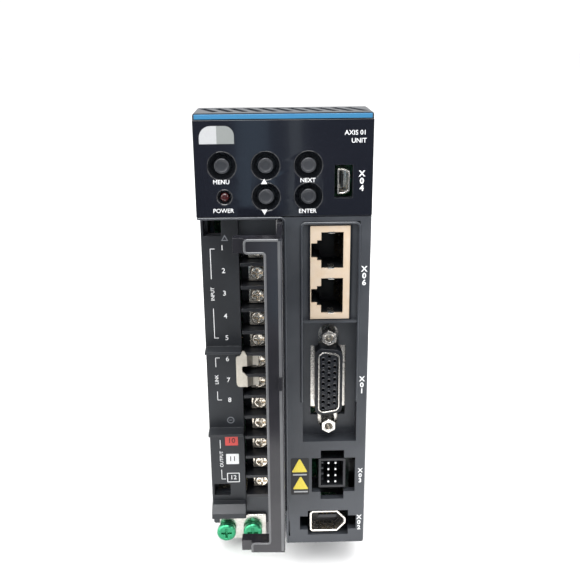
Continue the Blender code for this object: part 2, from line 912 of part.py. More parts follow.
def make_membrane():
    across, above = carrier_window()
    front = membrane_front()
    piece = box(
        "keypad_membrane",
        (across[0], front, bay_top + wall + membrane_seat), (across[1], front + membrane_thickness, above[1]),
    )
    domes = [(column, front - dome_height, row) for column, row in button_places()]
    shape = {"sides": 20, "end_radius": cap_radius + cap_flange - dish_edge}
    join(piece, rods("keypad_membrane_domes", domes, dome_height + fit, cap_radius, cutters, **shape))
    lamp = [(lamp_across, front - past, button_rows[1])]
    cut_rods(piece, "lamp_hole", lamp, membrane_thickness + 2 * past, lamp_radius + cap_clearance, sides=16)
    return paint(piece, (0.35, 0.36, 0.38), 0.7)


def make_keypad_board():
    piece = box(
        "keypad_board",
        (left + wall + board_margin, keypad_board_depth, bay_top + wall + board_margin),
        (
            right - wall - board_margin, keypad_board_depth + board_thickness,
            front_height - wall - board_margin,
        ),
    )
    return paint(piece, board_green, 0.5)


def make_display_module():
    centre = front_height - display_drop
    piece = box(
        "display_module",
        (-display_size[0] / 2, overlay_thickness + gap, centre - display_size[1] / 2),
        (display_size[0] / 2, keypad_board_depth - gap, centre + display_size[1] / 2),
    )
    return paint(piece, (0.03, 0.03, 0.035), 0.3)


def make_charge_lamp():
    front = -lamp_proud
    piece = rod(
        "charge_lamp", (lamp_across, front, button_rows[1]),
        keypad_board_depth - gap - front, lamp_radius, sides=16
    )
    bevel(piece, cap_rim)
    return paint(piece, (0.25, 0.03, 0.02), 0.15)


def usb_outline(inset):
    """Mini-B outline: straight long side at the left, tapered at the right."""
    half_width, half_height = usb_opening[0] / 2 - inset, usb_opening[1] / 2 - inset
    start, taper = usb_taper
    corners = (
        (-half_width, -half_height), (start, -half_height), (half_width, -half_height + taper),
        (half_width, half_height - taper), (start, half_height), (-half_width, half_height),
    )
    return [(usb_across + x, usb_height + z) for x, z in corners]


def make_usb_socket():
    front = overlay_thickness / 2
    shell = prism("usb_shell", usb_outline(0), front, front + usb_length)
    space_back = front + usb_length - usb_floor
    cut(shell, prism("usb_shell_space", usb_outline(shell_wall), front - past, space_back, cutters))
    paint(shell, steel, 0.3, 1.0)
    tongue_left = usb_across - usb_opening[0] / 2 + shell_wall + gap + usb_tongue_inset
    half = usb_tongue_size[1] / 2
    tongue = box(
        "usb_tongue",
        (tongue_left, front + tongue_recess, usb_height - half),
        (tongue_left + usb_tongue_size[0], space_back - gap, usb_height + half),
    )
    paint(tongue, dark_plastic, 0.4)


def make_jack():
    """Two network ports side by side in one moulding."""
    low = (column_centre - jack_size[0] / 2, jack_inset, jack_centre - jack_size[2] / 2)
    high = (column_centre + jack_size[0] / 2, jack_inset + jack_size[1], jack_centre + jack_size[2] / 2)
    piece = box("rj45_jack", low, high)
    port_right = high[0] - jack_port_side
    port_left = port_right - jack_port[0]
    front, back = jack_inset - past, jack_inset + jack_port[1]
    for number, side in enumerate((1, -1), start=1):
        above = jack_centre + side * jack_port_pitch / 2
        half = jack_port[2] / 2
        cut_box(piece, f"port_{number}", (port_left, front, above - half), (port_right, back, above + half))
        latch_half = jack_latch[1] / 2
        cut_box(
            piece, f"latch_{number}",
            (port_left - jack_latch[0], front, above - latch_half),
            (port_left + past, back, above + latch_half),
        )
        cut_box(
            piece, f"latch_step_{number}",
            (port_left - jack_latch[0] / 2.4, front, above - latch_half - jack_latch_step),
            (port_left + past, back, above + latch_half + jack_latch_step),
        )
    return paint(piece, jack_beige, 0.45)


def d_outline(inset):
    """D-shaped outline with its long side at the left."""
    long_half = dsub_plug[0] / 2 - inset
    short_half = dsub_plug[1] / 2 - inset
    half_width = dsub_plug[2] / 2 - inset
    corners = (
        (-half_width, -long_half),
        (half_width, -short_half),
        (half_width, short_half),
        (-half_width, long_half),
    )
    outline = rounded(corners, dsub_corner - inset)
    return [(column_centre + x, dsub_centre + z) for x, z in outline]


def dsub_hole_places():
    places = []
    for row, count in enumerate(dsub_rows):
        across = column_centre + dsub_row_pitch * (row - 1)
        stagger = dsub_hole_pitch / 4 * (1 if row == 1 else -1 if row == 0 else 0)
        for index in range(count):
            above = dsub_centre + dsub_hole_pitch * (index - (count - 1) / 2) + stagger
            places.append((across, above))
    return places


def make_dsub():
    flange_front = dsub_pocket_depth + pocket_wall + gap
    flange_back = flange_front + dsub_flange[1]
    front = flange_front - dsub_reach
    half_width, half_height = dsub_flange[0] / 2, dsub_flange[2] / 2
    shell = box(
        "dsub_shell",
        (column_centre - half_width, flange_front, dsub_centre - half_height),
        (column_centre + half_width, flange_back, dsub_centre + half_height),
    )
    join_box(
        shell, "neck",
        (column_centre - dsub_neck[0] / 2, flange_front, dsub_centre - dsub_neck[1] / 2),
        (column_centre + dsub_neck[0] / 2, flange_back, dsub_centre + dsub_neck[1] / 2),
    )
    join(shell, prism("dsub_shell_collar", d_outline(0), front, flange_back - dsub_flange[1] / 2, cutters))
    cut(shell, prism("dsub_shell_space", d_outline(shell_wall), front - past, flange_back + past, cutters))
    paint(shell, (0.72, 0.70, 0.66), 0.3, 1.0)
    insulator_back = control_board_front + insulator_overlap
    insulator = prism("dsub_insulator", d_outline(shell_wall + gap), front + fit, insulator_back)
    holes = [(x, front + fit - past, z) for x, z in dsub_hole_places()]
    cut_rods(insulator, "holes", holes, dsub_hole_depth + past, dsub_hole_radius, sides=6)
    paint(insulator, dark_plastic, 0.5)
    for side, name in ((1, "jackscrew_upper"), (-1, "jackscrew_lower")):
        above = dsub_centre + side * dsub_screw_spacing / 2
        start = flange_front - gap - jackscrew_length
        screw = rod(name, (column_centre, start, above), jackscrew_length, jackscrew_radius, sides=6)
        thread = [(column_centre, start - past, above)]
        cut_rods(screw, "thread", thread, dsub_hole_depth + past, jackscrew_thread, sides=16)
        paint(screw, (0.66, 0.64, 0.60), 0.32, 1.0)


def make_header():
    """Shrouded header with two rows of four pins."""
    half_width, half_height = header_size[0] / 2, header_size[2] / 2
    front = header_inset
    back = front + header_size[1]
    middle = column_centre + header_shift
    piece = box(
        "encoder_header",
        (middle - half_width, front, header_height_centre - half_height),
        (middle + half_width, back, header_height_centre + half_height),
    )
    floor = back - header_floor
    cut_box(
        piece, "space",
        (middle - half_width + header_wall, front - past, header_height_centre - half_height + header_wall),
        (middle + half_width - header_wall, floor, header_height_centre + half_height - header_wall),
    )
    pins = []
    for column in (-0.5, 0.5):
        for row in (-1.5, -0.5, 0.5, 1.5):
            x = middle + column * pin_pitch
            z = header_height_centre + row * pin_pitch
            low = (x - pin_side / 2, front + pin_recess, z - pin_side / 2)
            pins.append((low, (x + pin_side / 2, floor + fit, z + pin_side / 2)))
    join(piece, boxes("encoder_header_pins", pins, cutters))
    return paint(piece, dark_plastic, 0.45)


def fieldbus_outline(inset):
    """Six-contact serial outline: flat at the left, pointed at the right."""
    half_width, half_height = fieldbus_size[0] / 2 - inset, fieldbus_size[2] / 2 - inset
    nose = half_height * 0.30
    shoulder = half_height * 0.62
    flat, point = fieldbus_corners
    corners = (
        (-half_width, -shoulder), (-half_width + flat, -half_height), (half_width - point, -half_height),
        (half_width, -nose), (half_width, nose), (half_width - point, half_height),
        (-half_width + flat, half_height), (-half_width, shoulder),
    )
    return [(column_centre + x, fieldbus_height_centre + z) for x, z in corners]


def make_fieldbus():
    front = fieldbus_inset
    back = front + fieldbus_size[1]
    shell = prism("fieldbus_shell", fieldbus_outline(0), front, back)
    cut(
        shell,
        prism("fieldbus_shell_space", fieldbus_outline(shell_wall), front - past, back + past, cutters),
    )
    paint(shell, (0.74, 0.74, 0.72), 0.25, 1.0)
    core_front, core_back = back - fieldbus_core[0], back - fieldbus_core[1]
    core = prism("fieldbus_tongue", fieldbus_outline(shell_wall + gap), core_front, core_back)
    half = fieldbus_tongue[0] / 2
    above = fieldbus_height_centre + fieldbus_tongue_lift
    join_box(
        core, "blade",
        (column_centre - half, front + tongue_recess, above),
        (column_centre + half, core_front + fit, above + fieldbus_tongue[1]),
    )
    paint(core, dark_plastic, 0.45)


def make_label_strip():
    """Moulded strip beside the terminals, with two shelves that part the wires and a flared foot."""
    front, back = strip_front, strip_front + strip_thickness
    foot = flare_top - fit * 2
    piece = box("terminal_label_strip", (left, front, foot), (strip_right, back, bay_top - gap))
    shelves = []
    for above in shelf_heights:
        shelves.append(((left, shelf_front, above - shelf_thickness), (strip_right, front + fit, above)))
    join(piece, boxes("terminal_label_strip_shelves", shelves, cutters))
    flare = box(
        "terminal_label_strip_flare",
        (left, shelf_front, flare_top - flare_drop), (strip_right, back, flare_top - fit), cutters,
    )
    wedge = box(
        "terminal_label_strip_wedge",
        (left - past, wedge_low[0], flare_top + wedge_low[1]),
        (strip_right + past, wedge_high[0], flare_top + wedge_high[1]), cutters,
    )
    wedge.rotation_euler.x = math.atan2(flare_drop - shelf_thickness, front - shelf_front)
    wedge.location += Vector((0, 0, -wedge_drop))
    cut(flare, wedge)
    join(piece, flare)
    windows = [((low[0], front - past, low[1]),
    (high[0], back + past, high[1])) for low, high in latch_windows()]
    cut_boxes(piece, "latch_windows", windows)
    return paint(piece, body_grey, 0.5)


def make_terminal_block():
    body_back = terminal_floor + terminal_block_depth
    piece = box(
        "terminal_block", (block_left, terminal_floor, block_bottom), (block_right, body_back, block_top),
    )
    barriers = []
    for index in range(terminal_count + 1):
        middle = terminal_heights[0] + terminal_pitch / 2 - terminal_pitch * index
        low = (block_left, barrier_front, middle - barrier_thickness / 2)
        barriers.append((low, (block_right, terminal_floor + fit, middle + barrier_thickness / 2)))
    join(piece, boxes("terminal_block_barriers", barriers, cutters))
    holes = [(terminal_centre, terminal_floor - past, above) for above in terminal_heights]
    reach = screw_front + screw_head_height + screw_shaft_length + fit - terminal_floor
    cut_rods(piece, "screw_holes", holes, reach + past, screw_shaft_radius + cap_clearance, sides=12)
    return paint(piece, dark_plastic, 0.4)


def make_terminal_screws():
    for index, above in enumerate(terminal_heights, start=1):
        piece = rod(
            f"terminal_screw_{index:02d}", (terminal_centre, screw_front, above),
            screw_head_height, screw_head_radius,
            sides=16,
        )
        bevel(piece, screw_head_chamfer)
        back = screw_front + screw_head_height
        half = washer_side / 2
        join_box(
            piece, "washer",
            (terminal_centre - half, back - screw_head_chamfer - fit / 2, above - half),
            (terminal_centre + half, back + washer_thickness, above + half),
        )
        join_rod(
            piece, "shaft", (terminal_centre, back, above), screw_shaft_length, screw_shaft_radius, sides=10,
        )
        cross_recess(piece, (terminal_centre, above), screw_front, *terminal_cross)
        paint(piece, steel, 0.28, 1.0)


def make_shorting_link():
    """Plate that joins two neighbouring terminals, with a fork under each washer."""
    upper, lower = (terminal_heights[number] for number in link_terminals)
    front = strip_front - gap - link_thickness
    bar_left = strip_right - link_overhang
    riser_left = terminal_centre - washer_side / 2 - gap - link_riser - fit / 5
    half = link_arm / 2
    fork_front = screw_front + screw_head_height + washer_thickness + gap
    piece = box(
        "shorting_link", (
            bar_left, front, lower - half), (strip_right + gap / 2, front + link_thickness, upper + half,
        )
    )
    for label, above in (("upper", upper), ("lower", lower)):
        join_box(
            piece, f"{label}_arm",
            (bar_left + fit, front, above - half),
            (riser_left + link_riser, front + link_thickness, above + half),
        )
        join_box(
            piece, f"{label}_riser",
            (riser_left, front + link_thickness / 2, above - half),
            (riser_left + link_riser, fork_front + link_thickness, above + half),
        )
        join_box(
            piece, f"{label}_fork",
            (riser_left + link_riser / 2, fork_front, above - link_fork[0] / 2),
            (terminal_centre + link_fork_reach, fork_front + link_thickness, above + link_fork[0] / 2),
        )
        cut_box(
            piece, f"{label}_slot",
            (terminal_centre - link_slot_start, fork_front - fit, above - link_fork[1] / 2),
            (
                terminal_centre + link_fork_reach + past, fork_front + link_thickness + fit,
                above + link_fork[1] / 2,
            ),
        )
    return paint(piece, (0.74, 0.70, 0.64), 0.35, 0.8)


def make_terminal_cover():
    """Cover built closed about its hinge axis, then swung open."""
    plate_right = hinge_across + 0.0004
    piece = box("terminal_cover", (cover_left, 0, cover_bottom), (plate_right, cover_thickness, cover_top))
    join_box(
        piece, "side",
        (cover_left, 0, cover_bottom), (cover_left + cover_thickness, cover_wall_depth, cover_top),
    )
    join_rod(
        piece, "knuckle",
        (hinge_across, hinge_behind, cover_bottom),
        cover_top - cover_bottom, hinge_behind, axis="Z", sides=20,
    )
    legs = (
        ("upper_leg", cover_top - leg_height_top, cover_top),
        ("lower_leg", cover_bottom, cover_bottom + leg_height_bottom),
    )
    for label, low, high in legs:
        join_box(piece, label, (leg_span[0], 0, low), (leg_span[1], strip_front - gap, high))
        join_box(
            piece, f"{label}_tip",
            (leg_span[0] + leg_tip_inset, strip_front - gap - fit, low), (leg_span[1], leg_depth, high),
        )
    grip = (cover_top + cover_bottom) / 2 + grip_lift
    join_box(
        piece, "grip",
        (cover_left - grip_proud, gap, grip - grip_half),
        (cover_left + cover_thickness / 2, cover_thickness - gap, grip + grip_half),
    )
    join_rod(
        piece, "upper_pivot",
        (hinge_across, hinge_behind, cover_top - fit),
        hinge_pin_length + fit, hinge_pin_radius, axis="Z", sides=16,
    )
    low = cover_bottom - cover_top_gap - lug_height
    join_rod(
        piece, "lower_pivot",
        (hinge_across, hinge_behind, low), cover_bottom + fit - low, hinge_pin_radius, axis="Z", sides=16,
    )
    tools = [step.object for step in piece.modifiers]
    hinge = world((hinge_across, hinge_behind, (cover_bottom + cover_top) / 2))
    move_origin(piece, hinge)
    swing = Matrix.Translation(hinge) @ Matrix.Rotation(open_angle, 4, "Z") @ Matrix.Translation(-hinge)
    for tool in tools:
        tool.matrix_world = swing @ Matrix.Translation(tool.location)
    piece.rotation_euler.z = open_angle
    return paint(piece, body_grey, 0.35)


def make_boards():
    inner_left, inner_right = left + wall + board_margin, right - wall - board_margin
    line = box(
        "line_board",
        (inner_left, line_board_depth, line_board_bottom),
        (control_face() - board_gap, line_board_depth + board_thickness, control_board_top - board_gap),
    )
    paint(line, board_green, 0.5)
    power = box(
        "power_board",
        (inner_left, power_board_depth, sink_bottom),
        (inner_right, power_board_depth + board_thickness, power_board_top),
    )
    paint(power, board_green, 0.5)
    control = box(
        "control_board",
        (control_face(), control_board_front, control_board_bottom),
        (control_face() + board_thickness, control_board_front + control_board_length, control_board_top),
    )
    paint(control, (0.015, 0.10, 0.05), 0.5)


def control_face():
    return right - control_board_inset


def make_power_parts():
    middle = (module_size[0] / 2, module_size[2] / 2)
    back = plate_front - gap - sink_base - gap
    module = box(
        "power_module",
        (-middle[0], back - module_size[1], module_height - middle[1]),
        (middle[0], back, module_height + middle[1]),
    )
    paint(module, (0.03, 0.03, 0.03), 0.5)
    end = power_board_depth - gap
    for name, across in zip(("bus_capacitor_left", "bus_capacitor_right"), capacitor_columns):
        start = (across, end - capacitor_length, capacitor_height)
        can = rod(name, start, capacitor_length, capacitor_radius, sides=32)
        bevel(can, part_edge, 2)
        paint(can, (0.04, 0.05, 0.07), 0.35)
    low, high = transformer_span
    transformer = box("transformer", (low[0], end - transformer_depth, low[1]), (high[0], end, high[1]))
    bevel(transformer, part_edge)
    paint(transformer, (0.42, 0.33, 0.08), 0.55)


def make_line_parts():
    face = line_board_depth + board_thickness + gap
    low, high = relay_span
    relay = box("inrush_relay", (low[0], face, low[1]), (high[0], face + relay_depth, high[1]))
    bevel(relay, part_edge)
    paint(relay, (0.03, 0.16, 0.36), 0.4)
    bpy.ops.mesh.primitive_torus_add(
        major_radius=choke_ring, minor_radius=choke_wire, major_segments=28, minor_segments=12,
        location=world((choke_place[0], face + choke_wire, choke_place[1])), rotation=(math.pi / 2, 0, 0),
    )
    choke = bpy.context.object
    choke.name = "emi_choke"
    choke.data.name = "emi_choke"
    for home in list(choke.users_collection):
        home.objects.unlink(choke)
    pieces.objects.link(choke)
    choke.parent = root
    paint(choke, (0.42, 0.20, 0.07), 0.4)
    start = (fuse_place[0], face + fuse_radius + gap, fuse_place[1])
    fuse = rod("line_fuse", start, fuse_length, fuse_radius, axis="Z", sides=20)
    paint(fuse, (0.72, 0.70, 0.62), 0.2)
    low, high = harness_span
    harness = box("link_harness", (low[0], face, low[1]), (high[0], power_board_depth - gap, high[1]))
    paint(harness, (0.50, 0.08, 0.06), 0.6)


make_back_plate()
make_heat_sink()
make_rear_housing()
make_case_screws()
make_front_housing()
make_ground_bracket()
make_ground_screws()
make_overlay()
make_stripe()
make_carrier()
make_buttons()
make_membrane()
make_keypad_board()
make_display_module()
make_charge_lamp()
make_usb_socket()
make_jack()
make_dsub()
make_header()
make_fieldbus()
make_label_strip()
make_terminal_block()
make_terminal_screws()
make_shorting_link()
make_terminal_cover()
make_boards()
make_power_parts()
make_line_parts()
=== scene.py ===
import math
import random

import bmesh
import bpy
from mathutils import Matrix, Vector


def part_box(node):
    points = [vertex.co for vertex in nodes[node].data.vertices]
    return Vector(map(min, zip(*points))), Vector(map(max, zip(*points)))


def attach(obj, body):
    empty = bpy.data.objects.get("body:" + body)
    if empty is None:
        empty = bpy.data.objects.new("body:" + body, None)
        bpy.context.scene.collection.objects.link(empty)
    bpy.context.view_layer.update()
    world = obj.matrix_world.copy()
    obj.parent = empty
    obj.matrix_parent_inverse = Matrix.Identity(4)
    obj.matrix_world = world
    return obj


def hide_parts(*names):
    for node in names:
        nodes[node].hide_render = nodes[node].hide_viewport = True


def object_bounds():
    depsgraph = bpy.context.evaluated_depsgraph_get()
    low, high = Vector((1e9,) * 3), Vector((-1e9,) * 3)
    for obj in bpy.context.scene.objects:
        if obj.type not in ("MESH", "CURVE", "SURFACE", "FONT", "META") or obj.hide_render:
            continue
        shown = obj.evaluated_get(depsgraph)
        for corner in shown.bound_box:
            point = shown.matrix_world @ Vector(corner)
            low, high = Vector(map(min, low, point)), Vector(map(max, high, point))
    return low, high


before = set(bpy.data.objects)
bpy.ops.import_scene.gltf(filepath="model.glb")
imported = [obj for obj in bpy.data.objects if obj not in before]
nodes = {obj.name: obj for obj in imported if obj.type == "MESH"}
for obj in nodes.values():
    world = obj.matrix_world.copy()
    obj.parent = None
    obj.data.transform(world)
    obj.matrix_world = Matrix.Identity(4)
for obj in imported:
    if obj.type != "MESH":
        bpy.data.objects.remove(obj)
cadLow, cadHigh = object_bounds()
mm = 0.001
random.seed(7)

scene = bpy.context.scene
scene.view_settings.view_transform = "Standard"
print("stage 1: frame loaded,", len(nodes), "nodes")


# where things are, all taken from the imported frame

frontLow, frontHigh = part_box("front_housing")
frontY = frontLow.y
bottomZ = frontLow.z
centreX = (frontLow.x + frontHigh.x) / 2


def mid(node):
    low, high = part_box(node)
    return (low + high) / 2


def axisOf(node):
    # the middle of the node's near end, and its length behind that in millimetres
    low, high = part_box(node)
    return Vector(((low.x + high.x) / 2, low.y, (low.z + high.z) / 2)), (high.y - low.y) / mm


def onFront(across, above, behind=0.0):
    # a point on the front face, from millimetres right of centre and above the bottom edge
    return Vector((centreX + across * mm, frontY + behind * mm, bottomZ + above * mm))


# shader maths

class Signal:
    # one output socket; arithmetic on it adds Math nodes
    def __init__(self, finish, socket):
        self.finish = finish
        self.socket = socket

    def maths(self, operation, first, second=0.0):
        return self.finish.maths(operation, first, second)

    def __add__(self, other):
        return self.maths("ADD", self, other)

    def __radd__(self, other):
        return self.maths("ADD", other, self)

    def __sub__(self, other):
        return self.maths("SUBTRACT", self, other)

    def __mul__(self, other):
        return self.maths("MULTIPLY", self, other)

    def __gt__(self, other):
        return self.maths("GREATER_THAN", self, other)

    def __lt__(self, other):
        return self.maths("LESS_THAN", self, other)


class Finish:
    # a material being put together
    def __init__(self, name, **uniform):
        self.material = bpy.data.materials.new(name)
        self.material.use_nodes = True
        self.tree = self.material.node_tree
        self.shader = self.tree.nodes["Principled BSDF"]
        for socket, value in uniform.items():
            self.set(socket.replace("_", " "), value)

    def node(self, kind, settings=None, inputs=None, output=0):
        made = self.tree.nodes.new(kind)
        for key, value in (settings or {}).items():
            setattr(made, key, value)
        pairs = inputs.items() if isinstance(inputs, dict) else enumerate(inputs or [])
        for socket, value in pairs:
            self.plug(made.inputs[socket], value)
        return Signal(self, made.outputs[output])

    def maths(self, operation, first, second=0.0):
        return self.node("ShaderNodeMath", {"operation": operation}, [first, second])

    def plug(self, socket, value):
        if isinstance(value, Signal):
            self.tree.links.new(value.socket, socket)
        elif isinstance(value, (tuple, list)) and len(value) == 3 and socket.type == "RGBA":
            socket.default_value = (*value, 1.0)
        else:
            socket.default_value = value

    def set(self, socket, value):
        self.plug(self.shader.inputs[socket], value)

    def place(self):
        return self.node("ShaderNodeTexCoord", output="Object")

    def axes(self):
        split = self.node("ShaderNodeSeparateXYZ", {}, [self.place()])
        return [Signal(self, socket) for socket in split.socket.node.outputs]

    def stretched(self, scale):
        return self.node("ShaderNodeMapping", {}, {"Vector": self.place(), "Scale": scale})

    def noise(self, size, detail=2.0, rough=0.5, where=None):
        feeds = {"Vector": where or self.place(), "Scale": 1 / (size * mm), "Detail": detail,
                 "Roughness": rough}
        return self.node("ShaderNodeTexNoise", {}, feeds)

    def cells(self, size, feature="F1"):
        feeds = {"Vector": self.place(), "Scale": 1 / (size * mm)}
        return self.node("ShaderNodeTexVoronoi", {"feature": feature}, feeds)

    def mixed(self, mask, first, second):
        feeds = {0: mask, 6: first, 7: second}
        return self.node("ShaderNodeMix", {"data_type": "RGBA"}, feeds, output=2)

    def remap(self, signal, low, high, newLow, newHigh):
        return self.node("ShaderNodeMapRange", {}, [signal, low, high, newLow, newHigh])

    def done(self, colour, rough, height, depth, strength=1.0):
        # plugs in what every finish has; the bump's depth is in millimetres
        self.set("Base Color", colour)
        self.set("Roughness", rough)
        feeds = {"Height": height, "Distance": depth * mm, "Strength": strength}
        self.set("Normal", self.node("ShaderNodeBump", {}, feeds))
        return self.material


plastic = {
    # each plastic's colour and the paler colour where it is worn
    "body": ((0.031, 0.035, 0.043), (0.043, 0.048, 0.057)),
    "cover": ((0.015, 0.015, 0.018), (0.021, 0.020, 0.024)),
    # the lip colour is paler than the cover's own: a painted highlight along the cover's edges
    "highlightLip": ((0.085, 0.087, 0.092), (0.11, 0.112, 0.118)),
    "strip": ((0.010, 0.012, 0.016), (0.014, 0.017, 0.022)),
    "black": ((0.008, 0.009, 0.012), (0.015, 0.016, 0.020)),
    "deepBlack": ((0.0045, 0.006, 0.010), (0.008, 0.010, 0.015)),
    "cap": ((0.026, 0.028, 0.033), (0.038, 0.040, 0.046)),
    "dish": ((0.006, 0.007, 0.009), (0.010, 0.011, 0.013)),
    "relay": ((0.020, 0.110, 0.270), (0.035, 0.150, 0.340)),
}


def mouldedPlastic(name, colour, worn, rough, grain=0.16, depth=0.012):
    # fine spark-eroded grain, faint flow clouds and small scuffs
    finish = Finish(name, Specular_IOR_Level=0.45)
    clouds = finish.noise(14.0, 3.0)
    grit = finish.noise(grain, 3.0, 0.6)
    pits = finish.cells(grain * 1.7)
    scuffs = (finish.noise(2.4, 6.0, 0.7) > 0.66) * (finish.noise(0.5, 2.0) > 0.55)
    tone = finish.mixed(finish.remap(clouds, 0.35, 0.65, 0.0, 1.0), colour, worn)
    shown = finish.mixed(scuffs * 0.25, tone, tuple(channel * 1.8 for channel in worn))
    dull = rough + (grit - 0.5) * 0.14 + (clouds - 0.5) * 0.10 - scuffs * 0.08
    return finish.done(shown, dull, grit * 0.6 + pits * 0.4, depth)


def glossPanelFilm():
    finish = Finish("glossPanelFilm", Specular_IOR_Level=0.38, Coat_Roughness=0.03, Coat_IOR=1.45)
    clouds = finish.noise(22.0, 2.0)
    dust = finish.cells(1.3) < 0.045
    haze = finish.noise(6.0, 4.0, 0.65)
    base = finish.mixed(clouds, (0.0070, 0.0085, 0.0135), (0.0100, 0.0110, 0.0160))
    finish.set("Coat Weight", 0.15 + haze * 0.1)
    shade = finish.mixed(dust * 0.35, base, (0.10, 0.10, 0.11))
    return finish.done(shade, 0.075 + haze * 0.05 + dust * 0.25, finish.noise(9.0, 2.0), 0.010, 0.6)


def platedMetal(name, bright, dark, rough, brushed=None, metallic=1.0, tarnish=0.45):
    # plating with drawn lines, dull patches and tiny pits
    finish = Finish(name, Metallic=metallic)
    spot = finish.stretched(brushed) if brushed else finish.place()
    lines = finish.noise(0.22, 3.0, 0.6, spot)
    patches = finish.noise(1.6, 4.0, 0.6)
    pits = finish.cells(0.35) < 0.10
    tone = finish.mixed(finish.remap(patches, 0.40, 0.72, 0.0, tarnish), bright, dark)
    shade = finish.mixed(pits * 0.4, tone, dark)
    dull = rough + (lines - 0.5) * 0.16 + (patches - 0.5) * 0.18 + pits * 0.1
    return finish.done(shade, dull, lines * 0.7 + patches * 0.3, 0.010)


def paintedInk(name, colour):
    finish = Finish(name, Specular_IOR_Level=0.3)
    wear = finish.noise(0.30, 4.0, 0.65)
    grain = finish.noise(0.12, 2.0)
    faded = tuple(channel * 0.72 for channel in colour)
    shade = finish.mixed(finish.remap(wear, 0.45, 0.75, 0.0, 0.8), colour, faded)
    return finish.done(shade, 0.45 + grain * 0.2, grain, 0.006)


def glowingPinWhite():
    # bright tinned tips with a faint emission, a painted glow that stands in for their highlight
    finish = Finish("glowingPinWhite", Specular_IOR_Level=0.5, Emission_Color=(0.9, 0.92, 0.95))
    finish.set("Emission Strength", 0.35)
    haze = finish.noise(0.4, 3.0)
    shade = finish.mixed(haze, (0.90, 0.90, 0.88), (0.78, 0.78, 0.76))
    return finish.done(shade, 0.35 + haze * 0.2, haze, 0.01)


def jackPlastic():
    # beige face; the ports' walls are painted dark a little way in, a painted shade inside the ports
    finish = Finish("jackPlastic", Specular_IOR_Level=0.4)
    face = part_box("rj45_jack")[0].y
    behind = finish.axes()[1]
    # painted shade: the walls fade to near black with depth behind the jack's face
    paintedPortShade = finish.remap(behind, face + 0.25 * mm, face + 1.1 * mm, 0.0, 1.0)
    fibres = finish.noise(0.5, 4.0, 0.6, finish.stretched((3, 1, 0.4)))
    clouds = finish.noise(3.0, 3.0)
    warm = finish.mixed(fibres, (0.50, 0.385, 0.270), (0.62, 0.495, 0.365))
    warm = finish.mixed(finish.remap(clouds, 0.4, 0.7, 0.0, 0.5), warm, (0.58, 0.50, 0.42))
    shade = finish.mixed(paintedPortShade, warm, (0.006, 0.007, 0.009))
    return finish.done(shade, 0.42 + (fibres - 0.5) * 0.2, finish.noise(0.15, 3.0), 0.012)


def boardLaminate(name, low, high, gilt=(0.62, 0.55, 0.36)):
    # solder mask with tracks under it and round pads
    finish = Finish(name, Specular_IOR_Level=0.5)
    weave = finish.noise(0.35, 3.0)
    tracks = finish.cells(2.6, "DISTANCE_TO_EDGE") < 0.09
    pads = finish.cells(2.6) < 0.17
    tone = finish.mixed(tracks, low, high)
    finish.set("Metallic", pads * 0.8)
    shade = finish.mixed(pads, tone, gilt)
    return finish.done(shade, 0.34 + weave * 0.14 - pads * 0.1, tracks * 0.6 + pads * 0.6 + weave * 0.2, 0.03)


def capacitorSleeve():
    finish = Finish("capacitorSleeve", Specular_IOR_Level=0.5)
    across = finish.axes()[0]
    shrink = finish.noise(1.4, 3.0, 0.5, finish.stretched((1, 0.2, 1)))
    band = across > mid("bus_capacitor_right").x + 6 * mm
    tone = finish.mixed(shrink, (0.018, 0.022, 0.034), (0.040, 0.046, 0.062))
    shade = finish.mixed(band, tone, (0.55, 0.57, 0.60))
    return finish.done(shade, 0.25 + shrink * 0.2, shrink, 0.05)


choke = {"wire": 0.55, "turns": 26, "perTurn": 8, "start": 20, "sweep": 320}


def woundCopper():
    # enamelled wire, a ridge for each half turn; the colour is painted dark in the dips between turns and
    # light on the ridges, a painted shade
    finish = Finish("woundCopper", Metallic=0.85)
    core = mid("emi_choke")
    across, _, above = finish.axes()
    turn = finish.maths("ARCTAN2", above - core.z, across - core.x)
    turns = finish.maths("SINE", turn * (2 * choke["turns"]))
    shade = finish.remap(turns, -1.0, 1.0, 0.0, 1.0)
    # painted shade: darker copper in the dips between turns, brighter on the ridges
    turnShadedCopper = finish.mixed(shade, (0.20, 0.055, 0.015), (0.62, 0.26, 0.10))
    return finish.done(turnShadedCopper, 0.24 + finish.noise(0.8, 3.0) * 0.2, turns, 0.18)


def rubber():
    finish = Finish("keypadRubber", Specular_IOR_Level=0.25)
    talc = finish.noise(1.1, 5.0, 0.7)
    shade = finish.mixed(talc, (0.24, 0.25, 0.27), (0.36, 0.37, 0.39))
    return finish.done(shade, 0.62 + talc * 0.2, finish.noise(0.2, 3.0), 0.02)


def lampLens():
    finish = Finish("lampLens", Transmission_Weight=0.25, IOR=1.49, Specular_IOR_Level=0.6)
    facets = finish.cells(0.45)
    haze = finish.noise(0.8, 3.0)
    shade = finish.mixed(facets * 1.2, (0.10, 0.012, 0.012), (0.028, 0.012, 0.014))
    return finish.done(shade, 0.10 + haze * 0.12, facets, 0.04)


def glazedCeramic():
    finish = Finish("glazedCeramic", Specular_IOR_Level=0.5)
    crackle = finish.cells(3.4, "DISTANCE_TO_EDGE") < 0.02
    haze = finish.noise(2.0, 3.0)
    shade = finish.mixed(crackle * 0.4, (0.72, 0.70, 0.62), (0.50, 0.47, 0.40))
    return finish.done(shade, 0.14 + haze * 0.14, haze, 0.05)


def harnessSleeve(strand=4200.0):
    # braided sleeving; the dips of the weave are painted darker, a painted shade
    finish = Finish("harnessSleeve", Specular_IOR_Level=0.3)
    across, behind = finish.axes()[:2]
    warp = finish.maths("SINE", (across + behind) * strand)
    weft = finish.maths("SINE", (across - behind) * strand)
    braid = finish.remap(warp * weft, -1.0, 1.0, 0.0, 1.0)
    # painted shade: the low parts of the weave take the darker red
    shade = finish.mixed(braid, (0.10, 0.012, 0.010), (0.42, 0.06, 0.045))
    return finish.done(shade, 0.5 + braid * 0.2, braid, 0.12)


